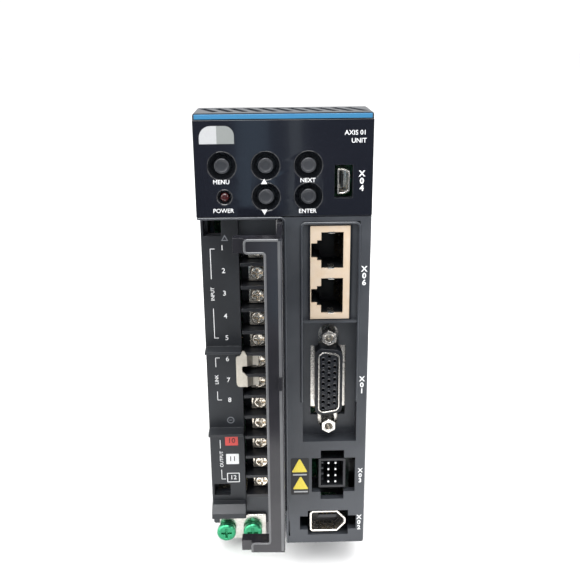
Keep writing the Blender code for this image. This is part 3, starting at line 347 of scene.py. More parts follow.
def tapeWrap(lapsPerMetre=240.0):
    finish = Finish("transformerTape", Specular_IOR_Level=0.5)
    laps = finish.maths("FRACT", finish.axes()[2] * lapsPerMetre)
    edge = laps < 0.07
    haze = finish.noise(3.0, 4.0)
    tone = finish.mixed(haze, (0.50, 0.36, 0.045), (0.66, 0.50, 0.09))
    shade = finish.mixed(edge * 0.6, tone, (0.24, 0.16, 0.02))
    return finish.done(shade, 0.28 + haze * 0.2, laps, 0.06)


finishes = {
    "housing": mouldedPlastic("housingPlastic", *plastic["body"], 0.40),
    "cover": mouldedPlastic("coverPlastic", *plastic["cover"], 0.13, 0.2, 0.003),
    # painted highlight: paler plastic for the cover's edge lips
    "highlightLip": mouldedPlastic("highlightLipPlastic", *plastic["highlightLip"], 0.22, 0.16, 0.003),
    "edge": mouldedPlastic("edgePlastic", *plastic["body"], 0.24, 0.16, 0.004),
    "strip": mouldedPlastic("stripPlastic", *plastic["strip"], 0.52),
    "black": mouldedPlastic("blackPlastic", *plastic["black"], 0.40, 0.13),
    "deepBlack": mouldedPlastic("deepBlackPlastic", *plastic["deepBlack"], 0.30, 0.13),
    "cap": mouldedPlastic("keyCapPlastic", *plastic["cap"], 0.32, 0.11),
    "dish": mouldedPlastic("dishPlastic", *plastic["dish"], 0.16, 0.5, 0.004),
    "film": glossPanelFilm(),
    "stripe": paintedInk("stripeBlue", (0.024, 0.165, 0.330)),
    "steel": platedMetal("platedSteel", (0.72, 0.70, 0.66), (0.40, 0.34, 0.27), 0.24),
    "brass": platedMetal("screwPlating", (0.92, 0.85, 0.74), (0.50, 0.36, 0.22), 0.22, None, 0.9, 0.22),
    "nickel": platedMetal("nickelShell", (0.84, 0.81, 0.76), (0.58, 0.52, 0.44), 0.26, (1, 0.25, 1)),
    "link": platedMetal("linkTin", (0.66, 0.62, 0.54), (0.48, 0.44, 0.37), 0.45, (0.3, 1, 1), 0.6),
    "glowingPinWhite": glowingPinWhite(),
    "sink": platedMetal("sinkAluminium", (0.46, 0.47, 0.48), (0.33, 0.34, 0.35), 0.38, (1, 1, 0.05)),
    "gold": platedMetal("contactGold", (0.92, 0.68, 0.30), (0.70, 0.46, 0.18), 0.20, (1, 0.2, 1)),
    "green": platedMetal("screwGreen", (0.045, 0.36, 0.17), (0.010, 0.12, 0.06), 0.24, None, 0.7),
    "jack": jackPlastic(),
    "board": boardLaminate("boardGreen", (0.010, 0.085, 0.035), (0.020, 0.155, 0.065)),
    "boardDark": boardLaminate("boardDark", (0.003, 0.014, 0.011), (0.006, 0.028, 0.021),
                               (0.09, 0.075, 0.045)),
    "rubber": rubber(),
    "lens": lampLens(),
    "can": capacitorSleeve(),
    "copper": woundCopper(),
    "tape": tapeWrap(),
    "relay": mouldedPlastic("relayBlue", *plastic["relay"], 0.32),
    "ceramic": glazedCeramic(),
    "sleeve": harnessSleeve(),
    "white": paintedInk("legendWhite", (0.80, 0.81, 0.82)),
    "faint": paintedInk("legendFaint", (0.17, 0.18, 0.20)),
    "red": paintedInk("legendRed", (0.66, 0.085, 0.075)),
    "yellow": paintedInk("stickerYellow", (0.78, 0.64, 0.085)),
    "ink": paintedInk("stickerBlack", (0.022, 0.022, 0.024)),
    "badgeLight": paintedInk("badgeLight", (0.42, 0.43, 0.44)),
    "badgeDark": paintedInk("badgeDark", (0.22, 0.235, 0.23)),
}

finishNodes = {
    "housing": "front_housing rear_housing",
    "cover": "terminal_cover",
    "strip": "terminal_label_strip",
    "black": "terminal_block encoder_header usb_tongue fieldbus_tongue display_module power_module",
    "deepBlack": "dsub_insulator",
    "dish": "keypad_carrier",
    "cap": "button_mode button_up button_shift button_down button_enter",
    "film": "panel_overlay",
    "stripe": "accent_stripe",
    "rubber": "keypad_membrane",
    "board": "keypad_board line_board power_board",
    "boardDark": "control_board",
    "can": "bus_capacitor_left bus_capacitor_right",
    "tape": "transformer",
    "relay": "inrush_relay",
    "copper": "emi_choke",
    "ceramic": "line_fuse",
    "sleeve": "link_harness",
    "sink": "heat_sink back_plate",
    "steel": "ground_bracket case_screw_left case_screw_right",
    "green": "ground_screw_left ground_screw_right",
    "lens": "charge_lamp",
    "nickel": "usb_shell dsub_shell fieldbus_shell jackscrew_upper jackscrew_lower",
    "jack": "rj45_jack",
    "link": "shorting_link",
    "brass": " ".join(name for name in nodes if name.startswith("terminal_screw")),
}
nodeFinish = {name: finish for finish, names in finishNodes.items() for name in names.split()}

for name, node in nodes.items():
    for slot in node.material_slots:
        slot.material = finishes[nodeFinish[name]]
print("stage 2: finishes made,", len(finishes))


# mesh helpers; every piece is made in the frame's own coordinates

def newPiece(name, bm, finish, body="drive", replaces=(), sharp=35):
    bmesh.ops.recalc_face_normals(bm, faces=bm.faces)
    mesh = bpy.data.meshes.new(name)
    bm.to_mesh(mesh)
    bm.free()
    mesh.materials.append(finishes[finish])
    for face in mesh.polygons:
        face.use_smooth = True
    mesh.set_sharp_from_angle(angle=math.radians(sharp))
    piece = bpy.data.objects.new(name, mesh)
    scene.collection.objects.link(piece)
    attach(piece, body)
    if replaces:
        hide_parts(*replaces)
    return piece


def roundEdges(piece, width, segments=2, angle=28):
    step = piece.modifiers.new("edges", "BEVEL")
    step.width = width * mm
    step.segments = segments
    step.limit_method = "ANGLE"
    step.angle_limit = math.radians(angle)
    step.use_clamp_overlap = True
    step.miter_outer = "MITER_ARC"
    shade = piece.modifiers.new("shade", "WEIGHTED_NORMAL")
    shade.keep_sharp = True
    shade.weight = 60
    return piece


def softened(node, name, width, segments=2, body="drive", sharp=50, merged=False):
    # the node's own shape with its edges eased, standing for the node
    bm = bmesh.new()
    bm.from_mesh(nodes[node].data)
    bmesh.ops.remove_doubles(bm, verts=bm.verts, dist=0.002 * mm)
    if merged:
        bmesh.ops.dissolve_limit(bm, angle_limit=math.radians(0.5), verts=bm.verts, edges=bm.edges)
    piece = newPiece(name, bm, nodeFinish[node], body, (node,), sharp)
    return roundEdges(piece, width, segments)


def addBox(bm, low, high):
    low, high = Vector(low), Vector(high)
    size = high - low
    place = Matrix.Translation((low + high) / 2) @ Matrix.Diagonal((*size, 1.0))
    return bmesh.ops.create_cube(bm, size=1.0, matrix=place)["verts"]


def addEased(bm, low, high, width, segments=2):
    # a box with rounded edges
    verts = addBox(bm, low, high)
    edges = list({edge for vert in verts for edge in vert.link_edges})
    bmesh.ops.bevel(bm, geom=edges, offset=width * mm, segments=segments, affect="EDGES", profile=0.5,
                    clamp_overlap=True)


def addTurned(bm, profile, centre, sides=64):
    # a profile of (radius, behind) in millimetres, turned about the line of sight
    rings = []
    for radius, behind in profile:
        ring = []
        if radius <= 0:
            ring.append(bm.verts.new(centre + Vector((0, behind * mm, 0))))
        else:
            for step in range(sides):
                turn = 2 * math.pi * step / sides
                spoke = Vector((math.cos(turn) * radius, behind, math.sin(turn) * radius))
                ring.append(bm.verts.new(centre + spoke * mm))
        rings.append(ring)
    for ring, following in zip(rings, rings[1:]):
        for step in range(sides):
            after = (step + 1) % sides
            corners = [ring[step % len(ring)], ring[after % len(ring)]]
            corners += [following[after % len(following)], following[step % len(following)]]
            corners = list(dict.fromkeys(corners))
            if len(corners) > 2:
                bm.faces.new(corners)


def addPlate(bm, outline, near, far, holes=()):
    # a flat outline of (across, above) in millimetres, between two depths behind the front
    curve = bpy.data.curves.new("outline", "CURVE")
    curve.dimensions = "2D"
    curve.fill_mode = "BOTH"
    curve.extrude = (far - near) / 2 * mm
    for points in (outline, *holes):
        spline = curve.splines.new("POLY")
        spline.points.add(len(points) - 1)
        for point, (across, above) in zip(spline.points, points):
            point.co = (across * mm, above * mm, 0, 1)
        spline.use_cyclic_u = True
    addCurve(bm, curve, onFront(0, 0, (near + far) / 2))


def curveMesh(curve):
    holder = bpy.data.objects.new("holder", curve)
    scene.collection.objects.link(holder)
    bpy.context.view_layer.update()
    mesh = bpy.data.meshes.new_from_object(holder)
    bpy.data.objects.remove(holder, do_unlink=True)
    return mesh


def addCurve(bm, curve, place, spin=0.0):
    # a flat curve stood upright, facing the front
    mesh = curveMesh(curve)
    upright = Matrix.Translation(place) @ Matrix.Rotation(math.pi / 2, 4, "X")
    mesh.transform(upright @ Matrix.Rotation(spin, 4, "Z"))
    bm.from_mesh(mesh)
    bpy.data.meshes.remove(mesh)
    bmesh.ops.remove_doubles(bm, verts=bm.verts, dist=0.001 * mm)


def roundedOutline(width, height, radius, centre=(0, 0), steps=5):
    points = []
    corners = ((1, 1, 0), (-1, 1, 90), (-1, -1, 180), (1, -1, 270))
    for sideX, sideZ, start in corners:
        for step in range(steps + 1):
            turn = math.radians(start + 90 * step / steps)
            across = centre[0] + sideX * (width / 2 - radius) + math.cos(turn) * radius
            above = centre[1] + sideZ * (height / 2 - radius) + math.sin(turn) * radius
            points.append((across, above))
    return points


def rectangle(left, bottom, right, top):
    return [(left, bottom), (right, bottom), (right, top), (left, top)]


def addText(bm, words, across, above, behind, height, spin=0.0, align="CENTER", bold=0.008):
    # printed lettering, centred on its place; the height is that of a capital
    size = height / 0.70 * mm
    curve = bpy.data.curves.new("words", "FONT")
    curve.body = words
    curve.size = size
    curve.align_x = align
    curve.align_y = "CENTER"
    curve.offset = bold * size
    curve.extrude = 0.015 * mm
    curve.resolution_u = 3
    addCurve(bm, curve, onFront(across, above, behind - 0.02), spin)


def addTube(bm, points, radius, sides=10):
    # a round wire along a path of points
    curve = bpy.data.curves.new("wire", "CURVE")
    curve.dimensions = "3D"
    curve.bevel_depth = radius * mm
    curve.bevel_resolution = max(1, sides // 4)
    curve.use_fill_caps = True
    spline = curve.splines.new("NURBS")
    spline.points.add(len(points) - 1)
    for point, spot in zip(spline.points, points):
        point.co = (*spot, 1)
    spline.use_endpoint_u = True
    spline.order_u = 4
    mesh = curveMesh(curve)
    bm.from_mesh(mesh)
    bpy.data.meshes.remove(mesh)


# mouldings and metalwork whose edges catch the light

easedNodes = {
    "front_housing": ("frontHousing", 0.22, "housing_plastic"),
    "rear_housing": ("rearHousing", 0.30, "housing_plastic"),
    "panel_overlay": ("panelOverlay", 0.14, "gloss_panel"),
    "accent_stripe": ("accentStripe", 0.12, "blue_stripe"),
    "terminal_label_strip": ("labelStrip", 0.22, "housing_plastic"),
    "terminal_block": ("terminalBlock", 0.22, "black_plastic"),
    "encoder_header": ("encoderHeader", 0.12, "black_plastic"),
    "rj45_jack": ("networkJack", 0.10, "jack_beige"),
    "usb_shell": ("miniPortShell", 0.10, "nickel_shell"),
    "dsub_shell": ("controlPortShell", 0.14, "nickel_shell"),
    "ground_bracket": ("earthBracket", 0.25, "plated_steel"),
    "back_plate": ("backPlate", 0.45, "sink_aluminium"),
    "heat_sink": ("heatSink", 0.18, "sink_aluminium"),
    "inrush_relay": ("inrushRelay", 0.25, "relay_case"),
    "transformer": ("transformerBody", 0.35, "transformer_tape"),
    "power_module": ("powerModule", 0.30, "black_plastic"),
}
for node, (name, width, slot) in easedNodes.items():
    softened(node, name, width)
softened("terminal_cover", "terminalCover", 0.6, 4, body="cover", merged=True)

for node in sorted(nodes):
    if node.startswith("terminal_screw"):
        softened(node, "terminalScrew" + node[-2:], 0.13, sharp=40)
for side in ("left", "right"):
    softened("ground_screw_" + side, "earthScrew" + side.title(), 0.16, sharp=40)
for side in ("upper", "lower"):
    softened("jackscrew_" + side, "jackscrew" + side.title(), 0.22, sharp=40)
print("stage 3: eased edges made")


# raised beads along the mouldings' edges

beads = {
    "radius": 0.42, "corner": 1.6,
    "bayRim": [(-27.6, 123.2), (0.05, 123.2), (0.05, 0.6)],
    "columnRim": [(5.35, 58.0), (5.35, 121.35), (24.25, 121.35), (24.25, 58.0)],
}


def bentPath(corners, radius, steps=6):
    # straight runs joined by rounded corners, as (across, above)
    spots = [Vector(corner) for corner in corners]
    path = [spots[0]]
    for before, here, after in zip(spots, spots[1:], spots[2:]):
        start = here + (before - here).normalized() * radius
        end = here + (after - here).normalized() * radius
        for step in range(steps + 1):
            along = step / steps
            path.append(start.lerp(here, along).lerp(here.lerp(end, along), along))
    path.append(spots[-1])
    return path


def addRod(bm, points, radius, sides=12):
    # a round bead swept along points in space
    rings = []
    for index, spot in enumerate(points):
        way = (points[min(index + 1, len(points) - 1)] - points[max(index - 1, 0)]).normalized()
        out = way.cross(Vector((0, 1, 0))).normalized()
        up = way.cross(out).normalized()
        ring = []
        for side in range(sides):
            turn = 2 * math.pi * side / sides
            ring.append(bm.verts.new(spot + (out * math.cos(turn) + up * math.sin(turn)) * radius * mm))
        rings.append(ring)
    for ring, following in zip(rings, rings[1:]):
        for side in range(sides):
            after = (side + 1) % sides
            bm.faces.new([ring[side], ring[after], following[after], following[side]])
    bm.faces.new(rings[0])
    bm.faces.new(rings[-1])


def makeBeads():
    for name in ("bayRim", "columnRim"):
        bm = bmesh.new()
        path = bentPath(beads[name], beads["corner"])
        addRod(bm, [onFront(spot.x, spot.y) for spot in path], beads["radius"])
        newPiece(name, bm, "edge", sharp=60)


makeBeads()


# rolled lips on the open cover's free end, in a paler plastic that is a painted highlight along its edges;
# worked out closed and then swung about the hinge

coverLips = {
    "hinge": (-1.7, 1.2), "swing": 88, "free": -26.6, "bottom": 14.3, "top": 122.5, "wall": 5.2,
    "leg": 11.2, "legTop": 4.5, "legBottom": 3.8, "highlightLip": 0.40, "bend": 1.0, "corner": 0.85, "start": 1.0,
    "inset": 0.35, "footInset": 0.4, "legInset": 0.3, "faceInset": 0.2, "foldInset": 0.72,
}


def openCover(depth, above, inset):
    # a spot on the cover's free end, from its depth when closed and its height
    turn = math.radians(coverLips["swing"])
    pinAcross, pinBehind = coverLips["hinge"]
    across = coverLips["free"] + inset - pinAcross
    behind = depth - pinBehind
    swungAcross = across * math.cos(turn) - behind * math.sin(turn) + pinAcross
    swungBehind = across * math.sin(turn) + behind * math.cos(turn) + pinBehind
    return onFront(swungAcross, above, swungBehind)


def makeCoverLips():
    bottom, top, inset = coverLips["bottom"], coverLips["top"], coverLips["inset"]
    low, high = bottom + coverLips["footInset"], top - inset
    wall, leg = coverLips["wall"] - inset, coverLips["leg"] - inset
    legLow = bottom + coverLips["legBottom"] - coverLips["footInset"]
    legHigh = top - coverLips["legTop"] + coverLips["legInset"]
    outline = [(leg, low), (leg, legLow), (wall, legLow), (wall, legHigh), (leg, legHigh),
               (leg, high), (coverLips["start"], high)]
    face, depth = coverLips["faceInset"], coverLips["foldInset"]
    edge = [openCover(spot.x, spot.y, face) for spot in bentPath(outline, coverLips["bend"])]
    fold = [openCover(depth, above, depth) for above in (low + face, high - face)]
    # both beads take the paler plastic, a painted highlight on the cover's edges
    for name, points, radius in (("coverHighlightLip", edge, "highlightLip"), ("coverHighlightCorner", fold, "corner")):
        bm = bmesh.new()
        addRod(bm, points, coverLips[radius])
        newPiece(name, bm, "highlightLip", "cover", sharp=60)


makeCoverLips()


# keys, their wells and the lamp

keys = {
    "names": ("mode", "up", "shift", "down", "enter"),
    "radius": 2.4,
    "rim": 0.8,
    "crown": [(0, 0.34), (0.9, 0.32), (1.45, 0.24), (1.72, 0.12), (1.88, 0.03), (2.05, 0.0), (2.2, 0.04),
              (2.32, 0.13)],
    "well": [(4.70, 0.75), (4.62, 0.08), (4.52, 0.00), (4.38, 0.10), (4.20, 0.55), (3.92, 1.15),
             (3.55, 1.70), (3.10, 2.15), (2.82, 2.40), (2.70, 2.62), (2.68, 3.30)],
    "lampWell": [(2.62, 0.7), (2.52, 0.05), (2.42, -0.02), (2.26, 0.10), (2.02, 0.50), (1.86, 0.95),
                 (1.72, 1.25), (1.66, 2.2)],
    "lampDome": [(0, 0.02), (0.5, 0.05), (0.9, 0.16), (1.2, 0.36), (1.38, 0.66), (1.45, 1.1),
                 (1.45, 9.0), (0, 9.0)],
}


def makeKeys():
    r, rim = keys["radius"], keys["radius"] + keys["rim"]
    for key in keys["names"]:
        centre, length = axisOf("button_" + key)
        stem = [(r, 0.32), (r, 4.1), (rim, 4.1), (rim, 4.9), (r, 4.9), (r, length - 0.1),
                (r - 0.1, length), (0, length)]
        bm = bmesh.new()
        addTurned(bm, keys["crown"] + stem, centre)
        newPiece("key" + key.title(), bm, "cap", "key_" + key, ("button_" + key,))


def makeWells():
    bm = bmesh.new()
    for key in keys["names"]:
        spot = mid("button_" + key)
        addTurned(bm, keys["well"], Vector((spot.x, frontY, spot.z)))
    newPiece("keyWells", bm, "dish")
    lamp = mid("charge_lamp")
    centre = Vector((lamp.x, frontY, lamp.z))
    bm = bmesh.new()
    addTurned(bm, keys["lampWell"], centre)
    newPiece("lampWell", bm, "dish")
    bm = bmesh.new()
    addTurned(bm, keys["lampDome"], centre, 48)
    newPiece("lampLensDome", bm, "lens", replaces=("charge_lamp",))


makeKeys()
makeWells()


# printed legends on the panel

panelPrint = {
    "wordHeight": 1.333,
    "words": [("MENU", -19.7, 134.9), ("NEXT", 7.5, 135.2), ("POWER", -19.3, 125.7), ("ENTER", 7.4, 125.35)],
    "arrows": [(-6.25, 135.0, 1), (-6.3, 125.2, -1)],
    "titleHeight": 1.42,
    "title": [("AXIS 01", 25.7, 149.85), ("UNIT", 25.75, 147.4)],
    "badge": (-26.1, -20.7, -15.3), "badgeFoot": 146.8, "badgeTop": 152.3, "corners": (3.6, 3.0),
}


def badgeHalf(outer, inner, corner):
    # one half of a plain badge with a round outer corner
    foot, top = panelPrint["badgeFoot"], panelPrint["badgeTop"]
    way = math.copysign(1, inner - outer)
    outline = [(inner, foot), (inner, top)]
    for step in range(7):
        turn = math.radians(15 * step)
        outline.append((outer + way * corner * (1 - math.sin(turn)), top - corner * (1 - math.cos(turn))))
    outline.append((outer, foot))
    return outline


def makePanelPrint():
    bm = bmesh.new()
    for words, across, above in panelPrint["words"]:
        addText(bm, words, across, above, 0, panelPrint["wordHeight"])
    for words, across, above in panelPrint["title"]:
        addText(bm, words, across, above, 0, panelPrint["titleHeight"], align="RIGHT")
    for across, above, up in panelPrint["arrows"]:
        foot, tip = above - 0.8 * up, above + 0.85 * up
        addPlate(bm, [(across - 0.95, foot), (across + 0.95, foot), (across, tip)], -0.035, -0.005)
    newPiece("panelLegends", bm, "white")
    left, middle, right = panelPrint["badge"]
    for shade, outer, corner in zip(("badgeLight", "badgeDark"), (left, right), panelPrint["corners"]):
        bm = bmesh.new()
        addPlate(bm, badgeHalf(outer, middle, corner), -0.03, -0.005)
        newPiece(shade + "Half", bm, shade)


connectorMarks = {
    "X04": (24.5, 138.2, 131.3), "X06": (25.95, 106.9, 99.9), "X01": (26.05, 67.4, 60.6),
    "X03": (26.2, 31.4, 25.2), "X02": (26.15, 11.9, 5.3),
}


def makeConnectorMarks():
    # names that read downwards, letter under letter
    bm = bmesh.new()
    for words, (across, top, bottom) in connectorMarks.items():
        pitch = (top - bottom) / 3
        for index, letter in enumerate(words):
            addText(bm, letter, across, top - pitch * (index + 0.5), 0, pitch * 0.78, bold=0.03)
    newPiece("connectorMarks", bm, "white")


makePanelPrint()
makeConnectorMarks()


# printed legends on the terminal strip

stripPrint = {
    "depth": 11.5,
    "line": 0.24,
    "tick": 1.5,
    "height": 1.75,
    "numbers": [(-20.97, 110.4), (-20.75, 102.3), (-20.7, 94.2), (-20.6, 85.8), (-20.4, 77.7), (-20.5, 69.6),
                (-20.4, 61.4), (-20.2, 53.5)],
    "groupHeight": 1.2,
    "groups": [("INPUT", -24.7, 94.0), ("LINK", -24.5, 61.7), ("OUTPUT", -23.95, 29.3)],
    "rails": [(-25.0, 99.4, 110.1), (-24.7, 77.7, 88.7), (-24.7, 66.6, 70.1), (-24.5, 53.6, 57.0),
              (-24.3, 33.8, 37.3), (-24.15, 20.8, 24.8)],
    "ticks": [(-25.0, 110.1), (-24.7, 77.7), (-24.7, 70.1), (-24.5, 53.6), (-24.15, 20.8)],
    "boxes": {"10": (-20.1, 36.9, 3.9), "11": (-19.95, 29.25, 4.3), "12": (-19.85, 21.35, 4.0)},
    "boxWidth": 4.7, "boxCorner": 0.25, "boxFrame": 0.3, "boxNumberHeight": 2.0,
    "earth": (-20.1, 45.4), "earthRadius": 1.35, "earthHole": 0.72,
}


def stripBox(number, trim=0.0):
    # the box round a terminal's number, drawn in by the trim
    across, above, tall = stripPrint["boxes"][number]
    corner = stripPrint["boxCorner"] - trim / 3
    return roundedOutline(stripPrint["boxWidth"] - 2 * trim, tall - 2 * trim, corner, (across, above))


def makeStripPrint():
    depth = stripPrint["depth"]
    thick, thin = (depth - 0.035, depth - 0.005), (depth - 0.03, depth - 0.005)
    half = stripPrint["line"] / 2
    bm = bmesh.new()
    for index, (across, above) in enumerate(stripPrint["numbers"]):
        addText(bm, str(index + 1), across, above, depth, stripPrint["height"])
    for words, across, above in stripPrint["groups"]:
        addText(bm, words, across, above, depth, stripPrint["groupHeight"], spin=math.pi / 2)
    for across, foot, top in stripPrint["rails"]:
        addPlate(bm, rectangle(across - half, foot, across + half, top), *thick)
    for across, above in stripPrint["ticks"]:
        addPlate(bm, rectangle(across, above - half, across + stripPrint["tick"], above + half), *thick)
    addPlate(bm, stripBox("12"), *thick, [stripBox("12", stripPrint["boxFrame"])])
    addText(bm, "12", *stripPrint["boxes"]["12"][:2], depth, stripPrint["height"])
    addPlate(bm, stripBox("11"), *thick)
    newPiece("stripLegends", bm, "white")

    bm = bmesh.new()
    addPlate(bm, stripBox("10"), *thick)
    newPiece("stripRedBox", bm, "red")

    bm = bmesh.new()
    for number in ("11", "10"):
        addText(bm, number, *stripPrint["boxes"][number][:2], thick[0], stripPrint["boxNumberHeight"])
    newPiece("stripBoxNumbers", bm, "ink")

    bm = bmesh.new()
    across, above = stripPrint["earth"]
    radius = stripPrint["earthRadius"]
    outer, inner = [], []
    for step in range(32):
        x, z = radius * math.cos(step * math.pi / 16), radius * math.sin(step * math.pi / 16)
        outer.append((across + x, above + z))
        inner.append((across + x * stripPrint["earthHole"], above + z * stripPrint["earthHole"]))
    addPlate(bm, outer, *thin, [inner])
    addPlate(bm, rectangle(-20.7, 45.27, -19.5, 45.53), *thin)
    triangle = [(-21.2, 112.9), (-18.8, 112.9), (-20.0, 115.0)]
    small = [(-20.7, 113.2), (-19.3, 113.2), (-20.0, 114.4)]
    addPlate(bm, triangle, *thin, [small])
    newPiece("stripFaintMarks", bm, "faint")


makeStripPrint()


# plain triangle stickers beside the encoder socket

stickers = {
    "ground": (1.4, 20.9, 7.9, 35.9),
    "triangles": [(4.5, 30.2, 35.4), (4.85, 23.2, 28.2)],
    "half": 2.7, "blunt": 0.25, "bar": (5.0, 0.55, 0.2), "barShift": (0.1, -1.05),
    "paperDepths": (-0.05, -0.005), "inkDepths": (-0.09, -0.05), "barDepths": (-0.08, -0.05),
}


def makeStickers():
    left, bottom, right, top = stickers["ground"]
    bm = bmesh.new()
    middle = ((left + right) / 2, (bottom + top) / 2)
    addPlate(bm, roundedOutline(right - left, top - bottom, 0.5, middle), *stickers["paperDepths"])
    newPiece("stickerGround", bm, "ink")
    half, blunt = stickers["half"], stickers["blunt"]
    triangles = bmesh.new()
    bars = bmesh.new()
    for across, base, tip in stickers["triangles"]:
        outline = [(across - half, base + blunt), (across - half + blunt, base),
                   (across + half - blunt, base), (across + half, base + blunt),
                   (across + blunt, tip), (across - blunt, tip)]
        addPlate(triangles, outline, *stickers["inkDepths"])
        spot = (across + stickers["barShift"][0], base + stickers["barShift"][1])
        addPlate(bars, roundedOutline(*stickers["bar"], spot), *stickers["barDepths"])
    newPiece("stickerTriangles", triangles, "yellow")
    newPiece("stickerBars", bars, "badgeLight")


makeStickers()
print("stage 4: keys and print made")


# connectors

networkPort = {
    "spread": 7.8, "pitch": 1.02, "inset": 2.2, "wireRadius": 0.16,
    "wire": [(-0.25, 2.2), (-0.4, 3.0), (-1.7, 8.2), (-2.3, 10.6), (-1.9, 12.2), (-0.6, 12.7)],
    "tab": 6.05, "tabSides": (-4.9, -2.9), "jackShadowRing": 1.3,
}


def makeNetworkContacts():
    # eight sprung wires in each port, the small earthing tabs at the ports' ends and a dark ring round the
    # jack, a painted shadow in the gap at its edge
    low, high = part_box("rj45_jack")
    wires = bmesh.new()
    tabs = bmesh.new()
    right = high.x - networkPort["inset"] * mm
    middle = (low.z + high.z) / 2
    for side in (1, -1):
        centre = middle + side * networkPort["spread"] * mm
        for index in range(8):
            above = centre + (index - 3.5) * networkPort["pitch"] * mm
            wire = [(right + across * mm, low.y + behind * mm, above)
                    for across, behind in networkPort["wire"]]
            addTube(wires, wire, networkPort["wireRadius"], 8)
        for end in (1, -1):
            edge = centre + end * networkPort["tab"] * mm
            below, over = (0.34, 0.22) if end > 0 else (0.22, 0.34)
            start, stop = (right + side * mm for side in networkPort["tabSides"])
            addEased(tabs, (start, low.y - 0.12 * mm, edge - below * mm),
                     (stop, low.y + 4.5 * mm, edge + over * mm), 0.10)
    face = (low.y - frontY) / mm
    spot = ((low.x + high.x) / 2 / mm - centreX / mm, (middle - bottomZ) / mm)
    wide, tall = (high.x - low.x) / mm, (high.z - low.z) / mm
    # painted shadow: a near-black ring standing for the shadow gap round the jack
    margin = networkPort["jackShadowRing"]
    jackShadowRing = bmesh.new()
    addPlate(jackShadowRing, roundedOutline(wide + margin, tall + margin, 0.3, spot), face + 0.02, face + 0.4,
             [roundedOutline(wide + 0.02, tall + 0.02, 0.1, spot)])
    newPiece("networkShadowRing", jackShadowRing, "deepBlack")
    newPiece("networkContacts", wires, "gold")
    newPiece("networkTabs", tabs, "nickel")


def dOutline(longHalf, shortHalf, halfWidth, radius, centre, steps=6):
    # a trapezium with rounded corners, its long side at the left
    corners = [Vector((-halfWidth, -longHalf)), Vector((halfWidth, -shortHalf)),
               Vector((halfWidth, shortHalf)), Vector((-halfWidth, longHalf))]
    outline = []
    for index, here in enumerate(corners):
        before = (corners[index - 1] - here).normalized()
        after = (corners[(index + 1) % 4] - here).normalized()
        half = before.angle(after) / 2
        pivot = here + (before + after).normalized() * radius / math.sin(half)
        first = here + before * radius / math.tan(half) - pivot
        last = here + after * radius / math.tan(half) - pivot
        for step in range(steps + 1):
            ray = first.lerp(last, step / steps).normalized() * radius
            outline.append((pivot.x + ray.x + centre[0], pivot.y + ray.y + centre[1]))
    return outline


controlPort = {
    "pitch": 2.29, "rowPitch": 1.98,
    "rows": [(-1, 9, -1), (0, 9, 1), (1, 8, 0)],
    "collar": (12.9, 11.7, 4.75, 2.4), "opening": (11.75, 10.55, 3.65, 1.85),
    "rim": [(0.97, 0.02), (0.95, -0.16), (0.86, -0.26), (0.66, -0.24), (0.50, -0.05), (0.45, 0.4),
            (0.45, 3.0)],
    "contact": [(0.43, 3.2), (0.43, 1.3), (0.36, 1.2), (0.28, 1.3), (0.26, 3.2)],
}


def makeControlPort():
    # a black D-shaped ring round the shell, and the rim and the gilt contact of each hole
    middle = mid("dsub_insulator")
    centre = ((middle.x - centreX) / mm, (middle.z - bottomZ) / mm)
    low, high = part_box("dsub_shell")
    flangeFront = (high.y - frontY) / mm - 1.0
    bm = bmesh.new()
    outer = dOutline(*controlPort["collar"], centre)
    inner = dOutline(*controlPort["opening"], centre)
    addPlate(bm, outer, (low.y - frontY) / mm + 0.6, flangeFront - 0.02, [inner])
    collar = newPiece("controlPortCollar", bm, "deepBlack")
    roundEdges(collar, 0.2)
    face = (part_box("dsub_insulator")[0].y - frontY) / mm
    rim = [(radius, face + behind) for radius, behind in controlPort["rim"]]
    contact = [(radius, face + behind) for radius, behind in controlPort["contact"]]
    rims = bmesh.new()
    contacts = bmesh.new()
    for row, count, shift in controlPort["rows"]:
        across = centre[0] + controlPort["rowPitch"] * row
        stagger = controlPort["pitch"] / 4 * shift
        for index in range(count):
            above = centre[1] + controlPort["pitch"] * (index - (count - 1) / 2) + stagger
            addTurned(rims, rim, onFront(across, above), 16)
            addTurned(contacts, contact, onFront(across, above), 12)
    newPiece("controlPortRims", rims, "deepBlack")
    newPiece("controlPortContacts", contacts, "gold")


serialPort = {"metal": 0.75, "chamfer": 0.9, "shoulder": 0.76, "nose": 0.22, "floor": 5.5}


def makeSerialPort():
    # folded shell with a pointed right side, and the dark body inside it
    low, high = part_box("fieldbus_shell")
    left, right = (low.x - centreX) / mm, (high.x - centreX) / mm
    bottom, top = (low.z - bottomZ) / mm, (high.z - bottomZ) / mm
    near, far = (low.y - frontY) / mm, (high.y - frontY) / mm

    def outline(inset):
        shoulder = left + (right - left) * serialPort["shoulder"] - inset * 0.4
        nose = (top - bottom) * serialPort["nose"] / 2 - inset * 0.3
        cut = serialPort["chamfer"] - inset * 0.5
        middle = (top + bottom) / 2
        start, foot, head = left + inset, bottom + inset, top - inset
        return [(start + cut, foot), (shoulder, foot), (right - inset, middle - nose),
                (right - inset, middle + nose), (shoulder, head), (start + cut, head),
                (start, head - cut), (start, foot + cut)]

    bm = bmesh.new()
    addPlate(bm, outline(0.0), near, far, [outline(serialPort["metal"])])
    shell = newPiece("serialPortShell", bm, "nickel", replaces=("fieldbus_shell",))
    roundEdges(shell, 0.2)
    bm = bmesh.new()
    floor = near + serialPort["floor"]
    addPlate(bm, outline(serialPort["metal"] - 0.05), floor, floor + 0.6)
    newPiece("serialPortCore", bm, "black")


headerPins = {
    "pitch": 2.54, "half": 0.36, "tip": 0.55, "cap": 0.32, "rib": 2.3, "ribStart": 0.85, "ribWidth": 1.15,
}


